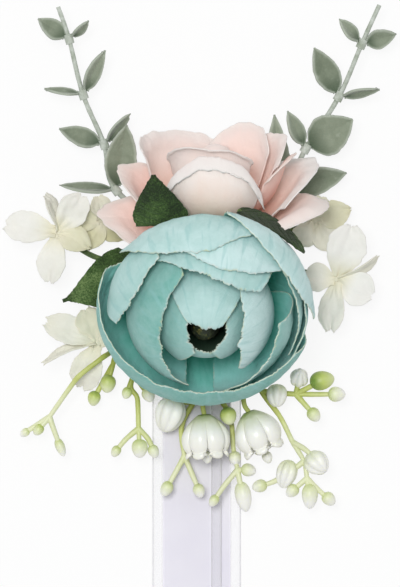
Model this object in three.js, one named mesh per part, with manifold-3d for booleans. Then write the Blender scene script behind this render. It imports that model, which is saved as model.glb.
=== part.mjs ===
// Wrist corsage of cloth flowers: a ranunculus and a rose with rose leaves, two eucalyptus sprigs,
// small white blossoms and lily-of-the-valley sprays, set in a mound of glue on a felt backing,
// with one ribbon to tie it on.
// Millimetres, +Z away from the wrist, +Y from the ribbon tails towards the rose.
// The origin is the middle of the felt's face that lies on the wrist.

import * as THREE from "three";
import { mergeVertices } from "three/addons/utils/BufferGeometryUtils.js";
import Module from "manifold-3d";

const wasm = await Module();
wasm.setup();

// Gap that pieces keep where they touch
const FIT = 0.3;

// Felt backing
const FELT_RADIUS = 22;
const FELT_THICKNESS = 1.5;

// Ribbon: folded double under the flowers, with both tails leaving over the felt's edge
const RIBBON_WIDTH = 19;
const RIBBON_THICKNESS = 0.35;
const RIBBON_FOLD_GAP = 0.6;
const RIBBON_FOLD_REACH = 9;
const FRONT_TAIL_OFFSET = -4.9;
const BACK_TAIL_OFFSET = 0.4;
const TAIL_NEAR_LENGTH = 46;
const TAIL_FAR_LENGTH = 116;
const TAIL_HINGE_STEP = 1;
const TAIL_WRAP_STEP = 2;

// Glue mound that every stem is set in
const MOUND_CENTRE_Y = 3;
const MOUND_RADIUS = 17;
const MOUND_HEIGHT = 9.5;
const MOUND_STEPS = 4;
const SOCKET_RADIUS = 8.5;

// Stems of the sprigs and sprays
const STEM_RADIUS = 0.75;
const LOW_STEM_Z = 5;
const HIGH_STEM_Z = 7.2;

// Ranunculus: cupped petals nested round a core, tipped towards the ribbon tails
const RANUNCULUS_RADIUS = 28.8;
const RANUNCULUS_HALF_HEIGHT = 17.5;
const RANUNCULUS_TILT = 33;
const RANUNCULUS_CENTRE_Y = -10.3;
const RANUNCULUS_STEM_CLEARANCE = 1.6;
const RANUNCULUS_CORE_RADIUS = 4.4;
const RANUNCULUS_CORE_TOP = 12.5;
const RANUNCULUS_CALYX_RADIUS = 11;
const RANUNCULUS_CALYX_WALL = 1.2;
const RANUNCULUS_CALYX_STEPS = 3;
const RANUNCULUS_STEM_RADIUS = 1.6;
const PETAL_THICKNESS = 0.3;
const PETAL_GAP = 0.8;
const PETAL_FACET = 7;
const PETAL_ROWS = 7;
const HEART_LAYER = 6;
const HEART_ROWS = 5;
const SHELL_FLATTENING = 0.2;
const SHELL_LIFT = 3;
const SHELL_SETTLE = 6;
const HEART_INSET = 12;
const HEART_SINK = 0.32;

// Rose: lies on its side behind the ranunculus and faces away from it
const ROSE_X = 2.7;
const ROSE_TUCK = 3;
const ROSE_RAISE = 17;
const ROSE_TILT = -76;
const ROSE_HUB_RADIUS = 3;
const ROSE_CORE_RADIUS = 6;
const ROSE_CORE_HEIGHT = 22;
const ROSE_UNDERSIDE = 0.6;
const ROSE_PETAL_THICKNESS = 0.35;
const ROSE_CALYX_RADIUS = 4.6;
const ROSE_CALYX_DEPTH = 4;
const ROSE_STEM_RADIUS = 1.3;

// Leaves and blossoms
const LEAF_THICKNESS = 0.5;
const HUGGING_LEAF_WIDTH = 8;
const HUGGING_LEAF_LAYER = -2.6;
const EUCALYPTUS_LEAF_THICKNESS = 0.5;
const EUCALYPTUS_TIP = 0.25;
const EUCALYPTUS_COLLAR_RADIUS = 1.35;
const EUCALYPTUS_COLLAR_LENGTH = 2.6;
const BLOSSOM_THICKNESS = 0.4;
const BLOSSOM_CALYX_RADIUS = 1.5;

// Lily-of-the-valley bells
const BELL_RADIUS = 5.9;
const BELL_LENGTH = 11.5;
const BELL_WALL = 0.6;
const BELL_STALK = 4;

const radians = THREE.MathUtils.degToRad;
const smooth = (value) => THREE.MathUtils.smoothstep(value, 0, 1);
const point = (x, y, z) => new THREE.Vector3(x, y, z);
const UP = point(0, 0, 1);

const corsage = new THREE.Group();

function finish(color, roughness, metalness = 0) {
  return new THREE.MeshStandardMaterial({ color, roughness, metalness, side: THREE.DoubleSide });
}

const felt = finish(0xf2f0ea, 0.95);
const satin = finish(0xf1eff8, 0.4);
const glue = finish(0xe6e0c8, 0.35);
const aquaSilk = finish(0xa5d3d0, 0.8);
const heart = finish(0x3c4a34, 0.9);
const blushSilk = finish(0xf6d8cd, 0.75);
const stemPlastic = finish(0x7d8f55, 0.5);
const velvetLeaf = finish(0x3d5a3c, 0.85);
const sageLeaf = finish(0x8fa595, 0.7);
const sageStem = finish(0x7c938a, 0.6);
const whiteSilk = finish(0xf4f2ea, 0.7);
const lilyPlastic = finish(0xbfd07a, 0.45);
const lilyWhite = finish(0xf6f6f1, 0.4);

function add(parent, name, geometry, material) {
  const mesh = new THREE.Mesh(geometry, material);
  mesh.name = name;
  parent.add(mesh);
  return mesh;
}

// Solids for joining and cutting
function toSolid(geometry) {
  const bare = geometry.clone();
  bare.deleteAttribute("normal");
  bare.deleteAttribute("uv");
  const merged = mergeVertices(bare, 1e-4);
  return new wasm.Manifold(new wasm.Mesh({
    numProp: 3,
    vertProperties: new Float32Array(merged.attributes.position.array),
    triVerts: new Uint32Array(merged.index.array),
  }));
}

function toGeometry(solid) {
  const mesh = solid.getMesh();
  const geometry = new THREE.BufferGeometry();
  geometry.setAttribute("position", new THREE.BufferAttribute(mesh.vertProperties, 3));
  geometry.setIndex(new THREE.BufferAttribute(mesh.triVerts, 1));
  return geometry;
}

function join(geometries) {
  return geometries.map(toSolid).reduce((whole, piece) => whole.add(piece));
}

function signedVolume(positions, index) {
  const a = new THREE.Vector3();
  const b = new THREE.Vector3();
  const c = new THREE.Vector3();
  let volume = 0;
  for (let i = 0; i < index.length; i += 3) {
    a.fromArray(positions, 3 * index[i]);
    b.fromArray(positions, 3 * index[i + 1]);
    c.fromArray(positions, 3 * index[i + 2]);
    volume += a.dot(b.cross(c)) / 6;
  }
  return volume;
}

// A thin sheet: surface(s, t) runs from -1 to 1 across and 0 to 1 along, thickened to both sides and closed
function sheet(surface, across, along, thickness) {
  const columns = across + 1;
  const rows = along + 1;
  const middle = [];
  for (let j = 0; j < rows; j += 1) {
    for (let i = 0; i < columns; i += 1) {
      middle.push(surface((2 * i) / across - 1, j / along));
    }
  }
  const within = (k, last) => THREE.MathUtils.clamp(k, 0, last);
  const at = (i, j) => middle[within(j, along) * columns + within(i, across)];
  const positions = [];
  for (const side of [1, -1]) {
    for (let j = 0; j < rows; j += 1) {
      for (let i = 0; i < columns; i += 1) {
        const acrossStep = at(i + 1, j).clone().sub(at(i - 1, j));
        const alongStep = at(i, j + 1).clone().sub(at(i, j - 1));
        const normal = acrossStep.cross(alongStep).normalize();
        positions.push(...at(i, j).clone().addScaledVector(normal, (side * thickness) / 2).toArray());
      }
    }
  }
  const index = [];
  const face = (a, b, c, d) => index.push(a, b, c, a, c, d);
  const back = columns * rows;
  for (let j = 0; j < along; j += 1) {
    for (let i = 0; i < across; i += 1) {
      const a = j * columns + i;
      face(a, a + 1, a + columns + 1, a + columns);
      face(back + a, back + a + columns, back + a + columns + 1, back + a + 1);
    }
  }
  const rim = [];
  for (let i = 0; i < across; i += 1) rim.push(i);
  for (let j = 0; j < along; j += 1) rim.push(j * columns + across);
  for (let i = across; i > 0; i -= 1) rim.push(along * columns + i);
  for (let j = along; j > 0; j -= 1) rim.push(j * columns);
  rim.forEach((from, k) => {
    const to = rim[(k + 1) % rim.length];
    face(from, back + from, back + to, to);
  });
  if (signedVolume(positions, index) < 0) index.reverse();
  const geometry = new THREE.BufferGeometry();
  geometry.setAttribute("position", new THREE.Float32BufferAttribute(positions, 3));
  geometry.setIndex(index);
  return geometry;
}

// A round stem along a smooth curve
function tube(curve, radius, steps, sides = 5) {
  const outline = new THREE.Shape();
  for (let k = 0; k < sides; k += 1) {
    const angle = (2 * Math.PI * k) / sides;
    if (k === 0) outline.moveTo(radius, 0);
    else outline.lineTo(radius * Math.cos(angle), radius * Math.sin(angle));
  }
  return new THREE.ExtrudeGeometry(outline, { steps, bevelEnabled: false, extrudePath: curve });
}

function curveThrough(points) {
  return new THREE.CatmullRomCurve3(points, false, "centripetal");
}

// An egg-shaped bud, its long axis along the given direction
function bud(centre, radius, length = radius, direction = UP) {
  const geometry = radius > 2 ? new THREE.SphereGeometry(1, 6, 4) : new THREE.SphereGeometry(1, 4, 3);
  geometry.rotateX(Math.PI / 2);
  geometry.scale(radius, radius, length);
  geometry.applyQuaternion(new THREE.Quaternion().setFromUnitVectors(UP, direction.clone().normalize()));
  return geometry.translate(centre.x, centre.y, centre.z);
}

// A leaf or petal from base to tip: turn rolls it about its length, peak places its widest point
function leafSurface(shape) {
  const { base, tip, width, turn = 0, arch = 0.08, fold = 0.2, peak = 0.75, blunt = 0.8 } = shape;
  const { foot = 0.5, end = foot } = shape;
  const length = base.distanceTo(tip);
  const direction = tip.clone().sub(base).normalize();
  const side = direction.clone().cross(UP).normalize().applyAxisAngle(direction, radians(turn));
  const normal = side.clone().cross(direction);
  return (s, t) => {
    const least = THREE.MathUtils.lerp(foot, end, t);
    const half = Math.max((width / 2) * Math.sin(Math.PI * t ** peak) ** blunt, least);
    const rise = arch * length * 4 * t * (1 - t) + fold * half * Math.abs(s);
    return base.clone()
      .addScaledVector(direction, length * t)
      .addScaledVector(side, half * s)
      .addScaledVector(normal, rise);
  };
}

// Where a stem ends in the glue mound, by its bearing clockwise from +Y
function socket(bearing, z) {
  const angle = radians(bearing);
  return point(SOCKET_RADIUS * Math.sin(angle), MOUND_CENTRE_Y + SOCKET_RADIUS * Math.cos(angle), z);
}

// Solids that the glue has flowed round, each a little larger than its stem
const embedded = [];
function embed(curve, radius, steps) {
  embedded.push(toSolid(tube(curve, radius + FIT, steps, 5)));
}

// Felt backing, a flat disc
const feltDisc = new THREE.CylinderGeometry(FELT_RADIUS, FELT_RADIUS, FELT_THICKNESS, 32);
feltDisc.rotateX(Math.PI / 2).translate(0, 0, FELT_THICKNESS / 2);
add(corsage, "felt_backing", feltDisc, felt);

// Ribbon: levels are those of the cloth's middle
const backLevel = FELT_THICKNESS + FIT + RIBBON_THICKNESS / 2;
const frontLevel = backLevel + RIBBON_THICKNESS + RIBBON_FOLD_GAP;
const foldRadius = (frontLevel - backLevel) / 2;
const backHingeY = -FELT_RADIUS - 2 * FIT;
const frontHingeY = backHingeY - TAIL_HINGE_STEP;
const foldLine = curveThroughFold();

function curveThroughFold() {
  const path = new THREE.CurvePath();
  const frontStart = point(0, frontHingeY + FIT, frontLevel);
  const frontFold = point(0, RIBBON_FOLD_REACH, frontLevel);
  const backFold = point(0, RIBBON_FOLD_REACH, backLevel);
  const backEnd = point(0, backHingeY + FIT, backLevel);
  const bulge = (foldRadius * 4) / 3;
  path.add(new THREE.LineCurve3(frontStart, frontFold));
  path.add(new THREE.CubicBezierCurve3(
    frontFold,
    point(0, RIBBON_FOLD_REACH + bulge, frontLevel),
    point(0, RIBBON_FOLD_REACH + bulge, backLevel),
    backFold,
  ));
  path.add(new THREE.LineCurve3(backFold, backEnd));
  return path;
}

// The run is cut into straight, turning and straight thirds, so the fold has its own steps
function ribbonFold(s, t) {
  const third = Math.min(Math.floor(t * 3), 2);
  const along = foldLine.curves[third].getPoint(t * 3 - third);
  const shift = smooth((t - 0.15) / 0.7);
  along.x = THREE.MathUtils.lerp(FRONT_TAIL_OFFSET, BACK_TAIL_OFFSET, shift) + (s * RIBBON_WIDTH) / 2;
  return along;
}
add(corsage, "ribbon_middle", sheet(ribbonFold, 1, 18, RIBBON_THICKNESS), satin);

// A tail slopes from the felt's edge down to the table, then lies along it
function ribbonTail(name, offset, hingeY, startLevel, endLevel, nearLength) {
  const bendY = hingeY - nearLength;
  const near = (s, t) => point(
    offset + (s * RIBBON_WIDTH) / 2,
    THREE.MathUtils.lerp(hingeY, bendY + FIT, t),
    THREE.MathUtils.lerp(startLevel, endLevel, t),
  );
  const far = (s, t) => point(
    offset + (s * RIBBON_WIDTH) / 2,
    THREE.MathUtils.lerp(bendY, bendY - TAIL_FAR_LENGTH, t),
    endLevel,
  );
  add(corsage, `${name}_tail_near`, sheet(near, 1, 2, RIBBON_THICKNESS), satin);
  add(corsage, `${name}_tail_far`, sheet(far, 1, 4, RIBBON_THICKNESS), satin);
}
const backTableLevel = RIBBON_THICKNESS / 2;
const frontTableLevel = backTableLevel + RIBBON_THICKNESS + FIT;
ribbonTail("back", BACK_TAIL_OFFSET, backHingeY, backLevel, backTableLevel, TAIL_NEAR_LENGTH);
const frontNearLength = TAIL_NEAR_LENGTH + TAIL_WRAP_STEP;
ribbonTail("front", FRONT_TAIL_OFFSET, frontHingeY, frontLevel, frontTableLevel, frontNearLength);

// Ranunculus: every petal lies on a shell of its own, an egg-shaped cup about the flower's axis
const tilt = radians(RANUNCULUS_TILT);
const lowestReach = Math.hypot(RANUNCULUS_HALF_HEIGHT * Math.cos(tilt), RANUNCULUS_RADIUS * Math.sin(tilt));
const backReach = Math.hypot(RANUNCULUS_HALF_HEIGHT * Math.sin(tilt), RANUNCULUS_RADIUS * Math.cos(tilt));
const ranunculus = new THREE.Group();
ranunculus.position.set(
  0,
  RANUNCULUS_CENTRE_Y,
  HIGH_STEM_Z + STEM_RADIUS + RANUNCULUS_STEM_CLEARANCE + lowestReach,
);
ranunculus.rotation.x = tilt;
corsage.add(ranunculus);

function shell(layer) {
  const inset = layer * (PETAL_THICKNESS + PETAL_GAP);
  const sunk = HEART_SINK * Math.max(0, inset - HEART_INSET);
  return {
    radius: RANUNCULUS_RADIUS - inset,
    halfHeight: RANUNCULUS_HALF_HEIGHT - SHELL_FLATTENING * inset - sunk,
    middle: SHELL_LIFT * (1 - Math.exp(-inset / SHELL_SETTLE)),
  };
}

function cupPoint(cup, azimuth, polar) {
  const reach = cup.radius * Math.sin(polar);
  return point(
    reach * Math.sin(azimuth),
    reach * Math.cos(azimuth),
    cup.middle + cup.halfHeight * Math.cos(polar),
  );
}

// The rim of a petal is an angle from the flower's axis, which droops towards the petal's sides
function ranunculusPetal({ azimuth, spread, layer, rim, droop, slant = 0 }) {
  const cup = shell(layer);
  const seat = RANUNCULUS_CORE_RADIUS + FIT + PETAL_THICKNESS / 2;
  const root = Math.PI - Math.asin(seat / cup.radius);
  return (s, t) => {
    const width = 0.5 + 0.5 * smooth(t / 0.55);
    const edge = radians(rim + droop * Math.abs(s) ** 2.2 + slant * s);
    return cupPoint(cup, radians(azimuth + spread * s * width), THREE.MathUtils.lerp(root, edge, t));
  };
}

const ranunculusPetals = [
  { azimuth: 53, spread: 41, layer: 0, rim: 65.5, droop: 25, slant: -5.5 },
  { azimuth: -15, spread: 41, layer: 1, rim: 60, droop: 33, slant: -10 },
  { azimuth: -160, spread: 90, layer: 0, rim: 39.5, droop: 37, slant: 14.5 },
  { azimuth: 115, spread: 36, layer: 1.4, rim: 73, droop: -4, slant: -9 },
  { azimuth: -59, spread: 29, layer: 2.5, rim: 55.5, droop: 10, slant: 2 },
  { azimuth: 18.5, spread: 33, layer: 2, rim: 50, droop: 18, slant: 2.5 },
  { azimuth: 86, spread: 32, layer: 2.6, rim: 73, droop: 4.5 },
  { azimuth: 8, spread: 41.5, layer: 4.7, rim: 48, droop: 15.5, slant: -10 },
  { azimuth: 129, spread: 45.5, layer: 4.8, rim: 53, droop: 5.5, slant: 3.5 },
  { azimuth: -92, spread: 74, layer: 7.1, rim: 34, droop: 24 },
  { azimuth: 85, spread: 54.5, layer: 9.5, rim: 30, droop: 24.5, slant: -7 },
  { azimuth: 2, spread: 41.5, layer: 12.1, rim: 21, droop: 28, slant: -2.5 },
  { azimuth: -80, spread: 64.5, layer: 13.4, rim: 17.5, droop: 11.5, slant: 11.5 },
  { azimuth: 93.5, spread: 61, layer: 14.7, rim: 21, droop: 12.5, slant: -13.5 },
  { azimuth: 178, spread: 96.5, layer: 15.9, rim: 23.5, droop: 7, slant: -2.5 },
];
ranunculusPetals.forEach((petal, k) => {
  const name = `ranunculus_petal_${String(k + 1).padStart(2, "0")}`;
  const girth = 2 * radians(petal.spread) * shell(petal.layer).radius;
  const columns = Math.max(5, Math.ceil(girth / PETAL_FACET));
  const rows = petal.layer > HEART_LAYER ? HEART_ROWS : PETAL_ROWS;
  add(ranunculus, name, sheet(ranunculusPetal(petal), columns, rows, PETAL_THICKNESS), aquaSilk);
});

// The calyx is a shallow cup under the outermost petals, in one piece with the flower's stem
const outerCup = shell(0);
const calyxInner = PETAL_THICKNESS / 2 + FIT;
const calyxStart = Math.asin(RANUNCULUS_CALYX_RADIUS / outerCup.radius);

function calyxProfile(grow) {
  const inner = [];
  const outer = [];
  for (let k = 0; k <= RANUNCULUS_CALYX_STEPS; k += 1) {
    const polar = Math.PI - (calyxStart * k) / RANUNCULUS_CALYX_STEPS;
    const ring = cupPoint(outerCup, Math.PI / 2, polar);
    inner.push(new THREE.Vector2(ring.x, ring.z - calyxInner));
    outer.push(new THREE.Vector2(ring.x + grow, ring.z - calyxInner - RANUNCULUS_CALYX_WALL - grow));
  }
  outer[0].x = 0;
  return [...outer, ...inner.reverse()];
}

const coreBottom = -RANUNCULUS_HALF_HEIGHT - calyxInner + FIT;
const calyxBottom = -RANUNCULUS_HALF_HEIGHT - calyxInner - RANUNCULUS_CALYX_WALL;
const ranunculusStemDepth = (ranunculus.position.z - LOW_STEM_Z) / Math.cos(tilt);
const ranunculusStem = new THREE.LineCurve3(
  point(0, 0, calyxBottom + RANUNCULUS_CALYX_WALL / 2),
  point(0, 0, -ranunculusStemDepth),
);
const calyxCup = new THREE.LatheGeometry(calyxProfile(0), 12).rotateX(Math.PI / 2);
const calyxPiece = join([calyxCup, tube(ranunculusStem, RANUNCULUS_STEM_RADIUS, 1, 8)]);
add(ranunculus, "ranunculus_calyx", toGeometry(calyxPiece), stemPlastic);

// The core is a firm bud that the petals are wrapped round
const coreProfile = [
  new THREE.Vector2(0, coreBottom),
  new THREE.Vector2(RANUNCULUS_CORE_RADIUS * 0.7, coreBottom),
  new THREE.Vector2(RANUNCULUS_CORE_RADIUS, coreBottom + 1.5),
  new THREE.Vector2(RANUNCULUS_CORE_RADIUS, RANUNCULUS_CORE_TOP * 0.5),
  new THREE.Vector2(RANUNCULUS_CORE_RADIUS * 0.7, RANUNCULUS_CORE_TOP * 0.9),
  new THREE.Vector2(0, RANUNCULUS_CORE_TOP),
];
add(ranunculus, "ranunculus_core", new THREE.LatheGeometry(coreProfile, 10).rotateX(Math.PI / 2), heart);

ranunculus.updateMatrixWorld(true);
const calyxBody = join([
  new THREE.LatheGeometry(calyxProfile(FIT), 12).rotateX(Math.PI / 2),
  tube(ranunculusStem, RANUNCULUS_STEM_RADIUS + FIT, 1, 8),
]);
embedded.push(toSolid(toGeometry(calyxBody).applyMatrix4(ranunculus.matrixWorld)));

// Rose: petals fan out from a hub, each a curved strip bent from base to rim.
// The half of the flower that lies towards the table is pressed flatter than the half that shows.
const rose = new THREE.Group();
rose.position.set(ROSE_X, RANUNCULUS_CENTRE_Y + backReach - ROSE_TUCK, ROSE_RAISE);
rose.rotation.x = radians(ROSE_TILT);
corsage.add(rose);

function press(y) {
  return y > 0 ? y * ROSE_UNDERSIDE : y;
}

function bend(from, first, second, to, t) {
  const u = 1 - t;
  return u ** 3 * from + 3 * u * u * t * first + 3 * u * t * t * second + t ** 3 * to;
}

// Trim cuts the corners of the rim, from pointed at a low curve to square at a high one;
// twist raises one side and lowers the other
function rosePetal(petal) {
  const { azimuth, spread, bulge, rim, height, base, trim = 0.2, curve = 2.4, twist = 0 } = petal;
  const climb = height - base;
  return (s, t) => {
    const run = t * (1 - trim * Math.abs(s) ** curve);
    const reach = bend(ROSE_HUB_RADIUS, bulge * 1.25, bulge * 1.05, rim, run);
    const level = bend(base, base + 0.05 * climb, base + 0.75 * climb, height, run);
    const lean = twist * s * smooth(t / 0.6);
    const angle = radians(azimuth + spread * s * (0.45 + 0.55 * smooth(t / 0.5)));
    return point(reach * Math.sin(angle), press(reach * Math.cos(angle)), level + lean);
  };
}

const rosePetals = [
  { azimuth: 108, spread: 30, bulge: 18, rim: 31, height: 9, base: 0, trim: 0.3, curve: 1.6, twist: -2 },
  { azimuth: -84, spread: 33, bulge: 19, rim: 31, height: 3, base: 0, trim: 0.3, curve: 1.6, twist: 5 },
  { azimuth: 86, spread: 38, bulge: 18, rim: 27, height: 17.3, base: 0.9, trim: 0.35, curve: 2, twist: -2.3 },
  { azimuth: -84, spread: 40, bulge: 18, rim: 26, height: 15, base: 0.8, trim: 0.3, curve: 1.6, twist: 4 },
  { azimuth: 182, spread: 45, bulge: 17.2, rim: 17.5, height: 23, base: 1.4, trim: 0.42, curve: 2 },
  { azimuth: -55, spread: 50, bulge: 16.6, rim: 20, height: 24.5, base: 2.8 },
  { azimuth: 72, spread: 38, bulge: 14.6, rim: 18.5, height: 25, base: 2.8, trim: 0.25, curve: 2 },
  { azimuth: 103, spread: 33, bulge: 16, rim: 20.5, height: 20.5, base: 2.1, trim: 0.25, twist: 1 },
  { azimuth: 42, spread: 40, bulge: 12.4, rim: 15, height: 27, base: 3.8, trim: 0.35, curve: 1.6 },
  { azimuth: -165, spread: 66, bulge: 10.8, rim: 13, height: 25, base: 4.8 },
];
rosePetals.forEach((petal, k) => {
  const name = `rose_petal_${String(k + 1).padStart(2, "0")}`;
  add(rose, name, sheet(rosePetal(petal), 5, 4, ROSE_PETAL_THICKNESS), blushSilk);
});

// The rose's core is a closed bud on the hub, and its calyx a cone behind the hub with a stem bent down
const hubInner = ROSE_HUB_RADIUS - ROSE_PETAL_THICKNESS / 2 - FIT;
const roseCoreProfile = [
  new THREE.Vector2(0, 0),
  new THREE.Vector2(hubInner, 0),
  new THREE.Vector2(hubInner, ROSE_CORE_HEIGHT * 0.3),
  new THREE.Vector2(ROSE_CORE_RADIUS, ROSE_CORE_HEIGHT * 0.6),
  new THREE.Vector2(ROSE_CORE_RADIUS * 0.7, ROSE_CORE_HEIGHT * 0.9),
  new THREE.Vector2(0, ROSE_CORE_HEIGHT),
];
const roseCore = new THREE.LatheGeometry(roseCoreProfile, 12).rotateX(Math.PI / 2);
const roseCorePoints = roseCore.attributes.position;
for (let k = 0; k < roseCorePoints.count; k += 1) roseCorePoints.setY(k, press(roseCorePoints.getY(k)));
add(rose, "rose_core", roseCore, blushSilk);

const calyxTop = -FIT - ROSE_PETAL_THICKNESS;
const roseCalyxProfile = [
  new THREE.Vector2(0, calyxTop - ROSE_CALYX_DEPTH),
  new THREE.Vector2(ROSE_CALYX_RADIUS * 0.6, calyxTop - ROSE_CALYX_DEPTH),
  new THREE.Vector2(ROSE_CALYX_RADIUS, calyxTop - ROSE_CALYX_DEPTH * 0.4),
  new THREE.Vector2(ROSE_CALYX_RADIUS, calyxTop),
  new THREE.Vector2(0, calyxTop),
];
rose.updateMatrixWorld(true);
const roseCalyx = new THREE.LatheGeometry(roseCalyxProfile, 10).rotateX(Math.PI / 2);
roseCalyx.applyMatrix4(rose.matrixWorld);
const roseStemTop = point(0, 0, calyxTop - ROSE_CALYX_DEPTH * 0.7).applyMatrix4(rose.matrixWorld);
const roseStem = curveThrough([
  roseStemTop,
  point(roseStemTop.x + 0.6, roseStemTop.y - 2.2, roseStemTop.z - 2.6),
  point(roseStemTop.x + 1.6, roseStemTop.y - 2.8, MOUND_HEIGHT),
  point(roseStemTop.x + 1.8, roseStemTop.y - 2.8, LOW_STEM_Z),
]);
const roseStemPiece = tube(roseStem, ROSE_STEM_RADIUS, 6, 6);
add(corsage, "rose_calyx", toGeometry(join([roseCalyx, roseStemPiece])), stemPlastic);
embed(roseStem, ROSE_STEM_RADIUS, 6);

// Rose leaves: cloth pressed with a midrib, each on a wire stalk set in the glue
function roseLeaf(name, surface, bearing, waypoints = []) {
  const blade = sheet(surface, 4, 4, LEAF_THICKNESS);
  const base = surface(0, 0);
  const foot = socket(bearing, HIGH_STEM_Z);
  const route = waypoints.length > 0 ? [surface(0, 0.1), ...waypoints] : [
    surface(0, 0.08),
    base,
    point((base.x + 2 * foot.x) / 3, (base.y + 2 * foot.y) / 3, (base.z + foot.z) / 2),
  ];
  const stalk = curveThrough([...route, foot]);
  add(corsage, name, toGeometry(join([blade, tube(stalk, STEM_RADIUS, 5, 5)])), velvetLeaf);
  embed(stalk, STEM_RADIUS, 5);
}
const besideRose = (x, y, z) => rose.position.clone().add(point(x, y, z));
roseLeaf("rose_leaf_upper", leafSurface({
  base: besideRose(-12.2, 0.5, 16.5),
  tip: besideRose(-16.5, 12.5, 21),
  width: 14.5,
  turn: -12,
  fold: -0.2,
  peak: 0.7,
}), -62);
roseLeaf("rose_leaf_left", leafSurface({
  base: point(-13, 1, 12),
  tip: point(-38.6, -8.4, 14),
  width: 17,
  fold: -0.15,
  peak: 0.7,
  blunt: 1.25,
}), -78);

// The right-hand leaf lies against the back of the ranunculus, on a shell just outside its petals
const hugged = shell(HUGGING_LEAF_LAYER);
function huggingLeaf(s, t) {
  const half = Math.max((HUGGING_LEAF_WIDTH / 2) * Math.sin(Math.PI * t ** 0.75) ** 0.4, STEM_RADIUS);
  const azimuth = radians(THREE.MathUtils.lerp(20, 62, t));
  const polar = radians(THREE.MathUtils.lerp(110, 104, t)) + (half * s) / hugged.radius;
  return cupPoint(hugged, azimuth, polar).applyMatrix4(ranunculus.matrixWorld);
}
const behind = (azimuth, polar) =>
  cupPoint(hugged, radians(azimuth), radians(polar)).applyMatrix4(ranunculus.matrixWorld);
roseLeaf("rose_leaf_right", huggingLeaf, 58, [behind(34, 130), behind(42, 155)]);

// Eucalyptus sprigs: a tapering stem with moulded leaf pairs, each pair on a collar threaded over the stem
function eucalyptus(side, bearing, stations, pairs) {
  const foot = socket(bearing, LOW_STEM_Z);
  const stem = curveThrough([foot, ...stations]);
  const steps = 3 * stations.length;
  add(corsage, `eucalyptus_${side}_stem`, tube(stem, STEM_RADIUS, steps), sageStem);
  embed(stem, STEM_RADIUS, steps);
  const bore = toSolid(tube(stem, STEM_RADIUS + FIT, steps));
  pairs.forEach((leaves, k) => {
    const node = stations[k];
    const before = k === 0 ? foot : stations[k - 1];
    const along = stations[k + 1].clone().sub(before).normalize();
    const collarRadius = EUCALYPTUS_COLLAR_RADIUS + FIT;
    const collar = new THREE.CylinderGeometry(collarRadius, collarRadius, EUCALYPTUS_COLLAR_LENGTH, 5);
    collar.applyQuaternion(new THREE.Quaternion().setFromUnitVectors(point(0, 1, 0), along));
    collar.translate(node.x, node.y, node.z);
    const blades = leaves.map(({ tip, width, turn, peak }) => {
      const outward = tip.clone().sub(node).normalize();
      const base = node.clone().addScaledVector(outward, EUCALYPTUS_COLLAR_RADIUS - FIT);
      const shape = { base, tip, width, turn, peak, arch: -0.06, fold: 0.3, foot: 1, end: EUCALYPTUS_TIP };
      return sheet(leafSurface(shape), 2, 3, EUCALYPTUS_LEAF_THICKNESS);
    });
    const pair = join([collar, ...blades]).subtract(bore);
    add(corsage, `eucalyptus_${side}_leaves_${k + 1}`, toGeometry(pair), sageLeaf);
  });
}
eucalyptus("left", -50, [
  point(-24.3, 21.9, 6.5),
  point(-27.5, 34.3, 8),
  point(-33.2, 47.8, 9),
  point(-37, 62.9, 9.5),
  point(-40, 71.7, 9.5),
], [
  [{ tip: point(-21.3, 39.4, 13), width: 8.6, turn: 10 }, { tip: point(-39.7, 23.2, 8), width: 6, turn: 62 }],
  [
    { tip: point(-39.7, 38.5, 10), width: 5.6, turn: 15 },
    { tip: point(-20.3, 42.7, 8.5), width: 5, turn: 60 },
  ],
  [{ tip: point(-27.1, 59.8, 11), width: 5, turn: 40 }, { tip: point(-43.7, 49.4, 10), width: 5, turn: 68 }],
  [
    { tip: point(-45.4, 68.4, 11), width: 5.4, turn: 15 },
    { tip: point(-31.6, 67.8, 11), width: 5, turn: 70 },
  ],
]);
eucalyptus("right", 44, [
  point(21.6, 22.1, 6.5),
  point(27.5, 33.2, 8),
  point(36.5, 47.3, 9),
  point(42.7, 61.6, 9.5),
  point(47.5, 72.2, 9.5),
], [
  [{ tip: point(18.9, 42.4, 8), width: 6, turn: 20 }, { tip: point(38.6, 26.5, 9), width: 8, turn: 15 }],
  [{ tip: point(22.4, 43.2, 12), width: 5, turn: 30 }, { tip: point(40.2, 41, 11), width: 11, turn: 5 }],
  [{ tip: point(29.7, 60.5, 11), width: 7, turn: 10 }, { tip: point(47.5, 49.1, 11), width: 5, turn: 65 }],
  [{ tip: point(36.5, 68.3, 11), width: 5, turn: 45 }, { tip: point(52.1, 64.3, 10), width: 5.4, turn: 20 }],
]);

// White blossoms: petals in one piece with a small calyx on a stem; bearings run clockwise from +Y
function blossom(name, bearing, centre, petals, waypoint) {
  const foot = socket(bearing, LOW_STEM_Z);
  const top = centre.clone().add(point(0, 0, -BLOSSOM_CALYX_RADIUS / 2));
  const stem = curveThrough([foot, waypoint, top]);
  const pieces = petals.map(({ angle, length, width, turn, rise }) => {
    const outward = point(Math.sin(radians(angle)), Math.cos(radians(angle)), 0);
    const base = centre.clone().addScaledVector(outward, BLOSSOM_CALYX_RADIUS / 3);
    const tip = centre.clone().addScaledVector(outward, length).add(point(0, 0, rise));
    const shape = { base, tip, width, turn, arch: 0.08, fold: 0.15, peak: 1.5, blunt: 0.7, foot: 0.7 };
    return sheet(leafSurface(shape), 2, 3, BLOSSOM_THICKNESS);
  });
  const calyx = bud(centre, BLOSSOM_CALYX_RADIUS);
  add(corsage, name, toGeometry(join([calyx, tube(stem, STEM_RADIUS, 4, 5), ...pieces])), whiteSilk);
  embed(stem, STEM_RADIUS, 4);
}
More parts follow.
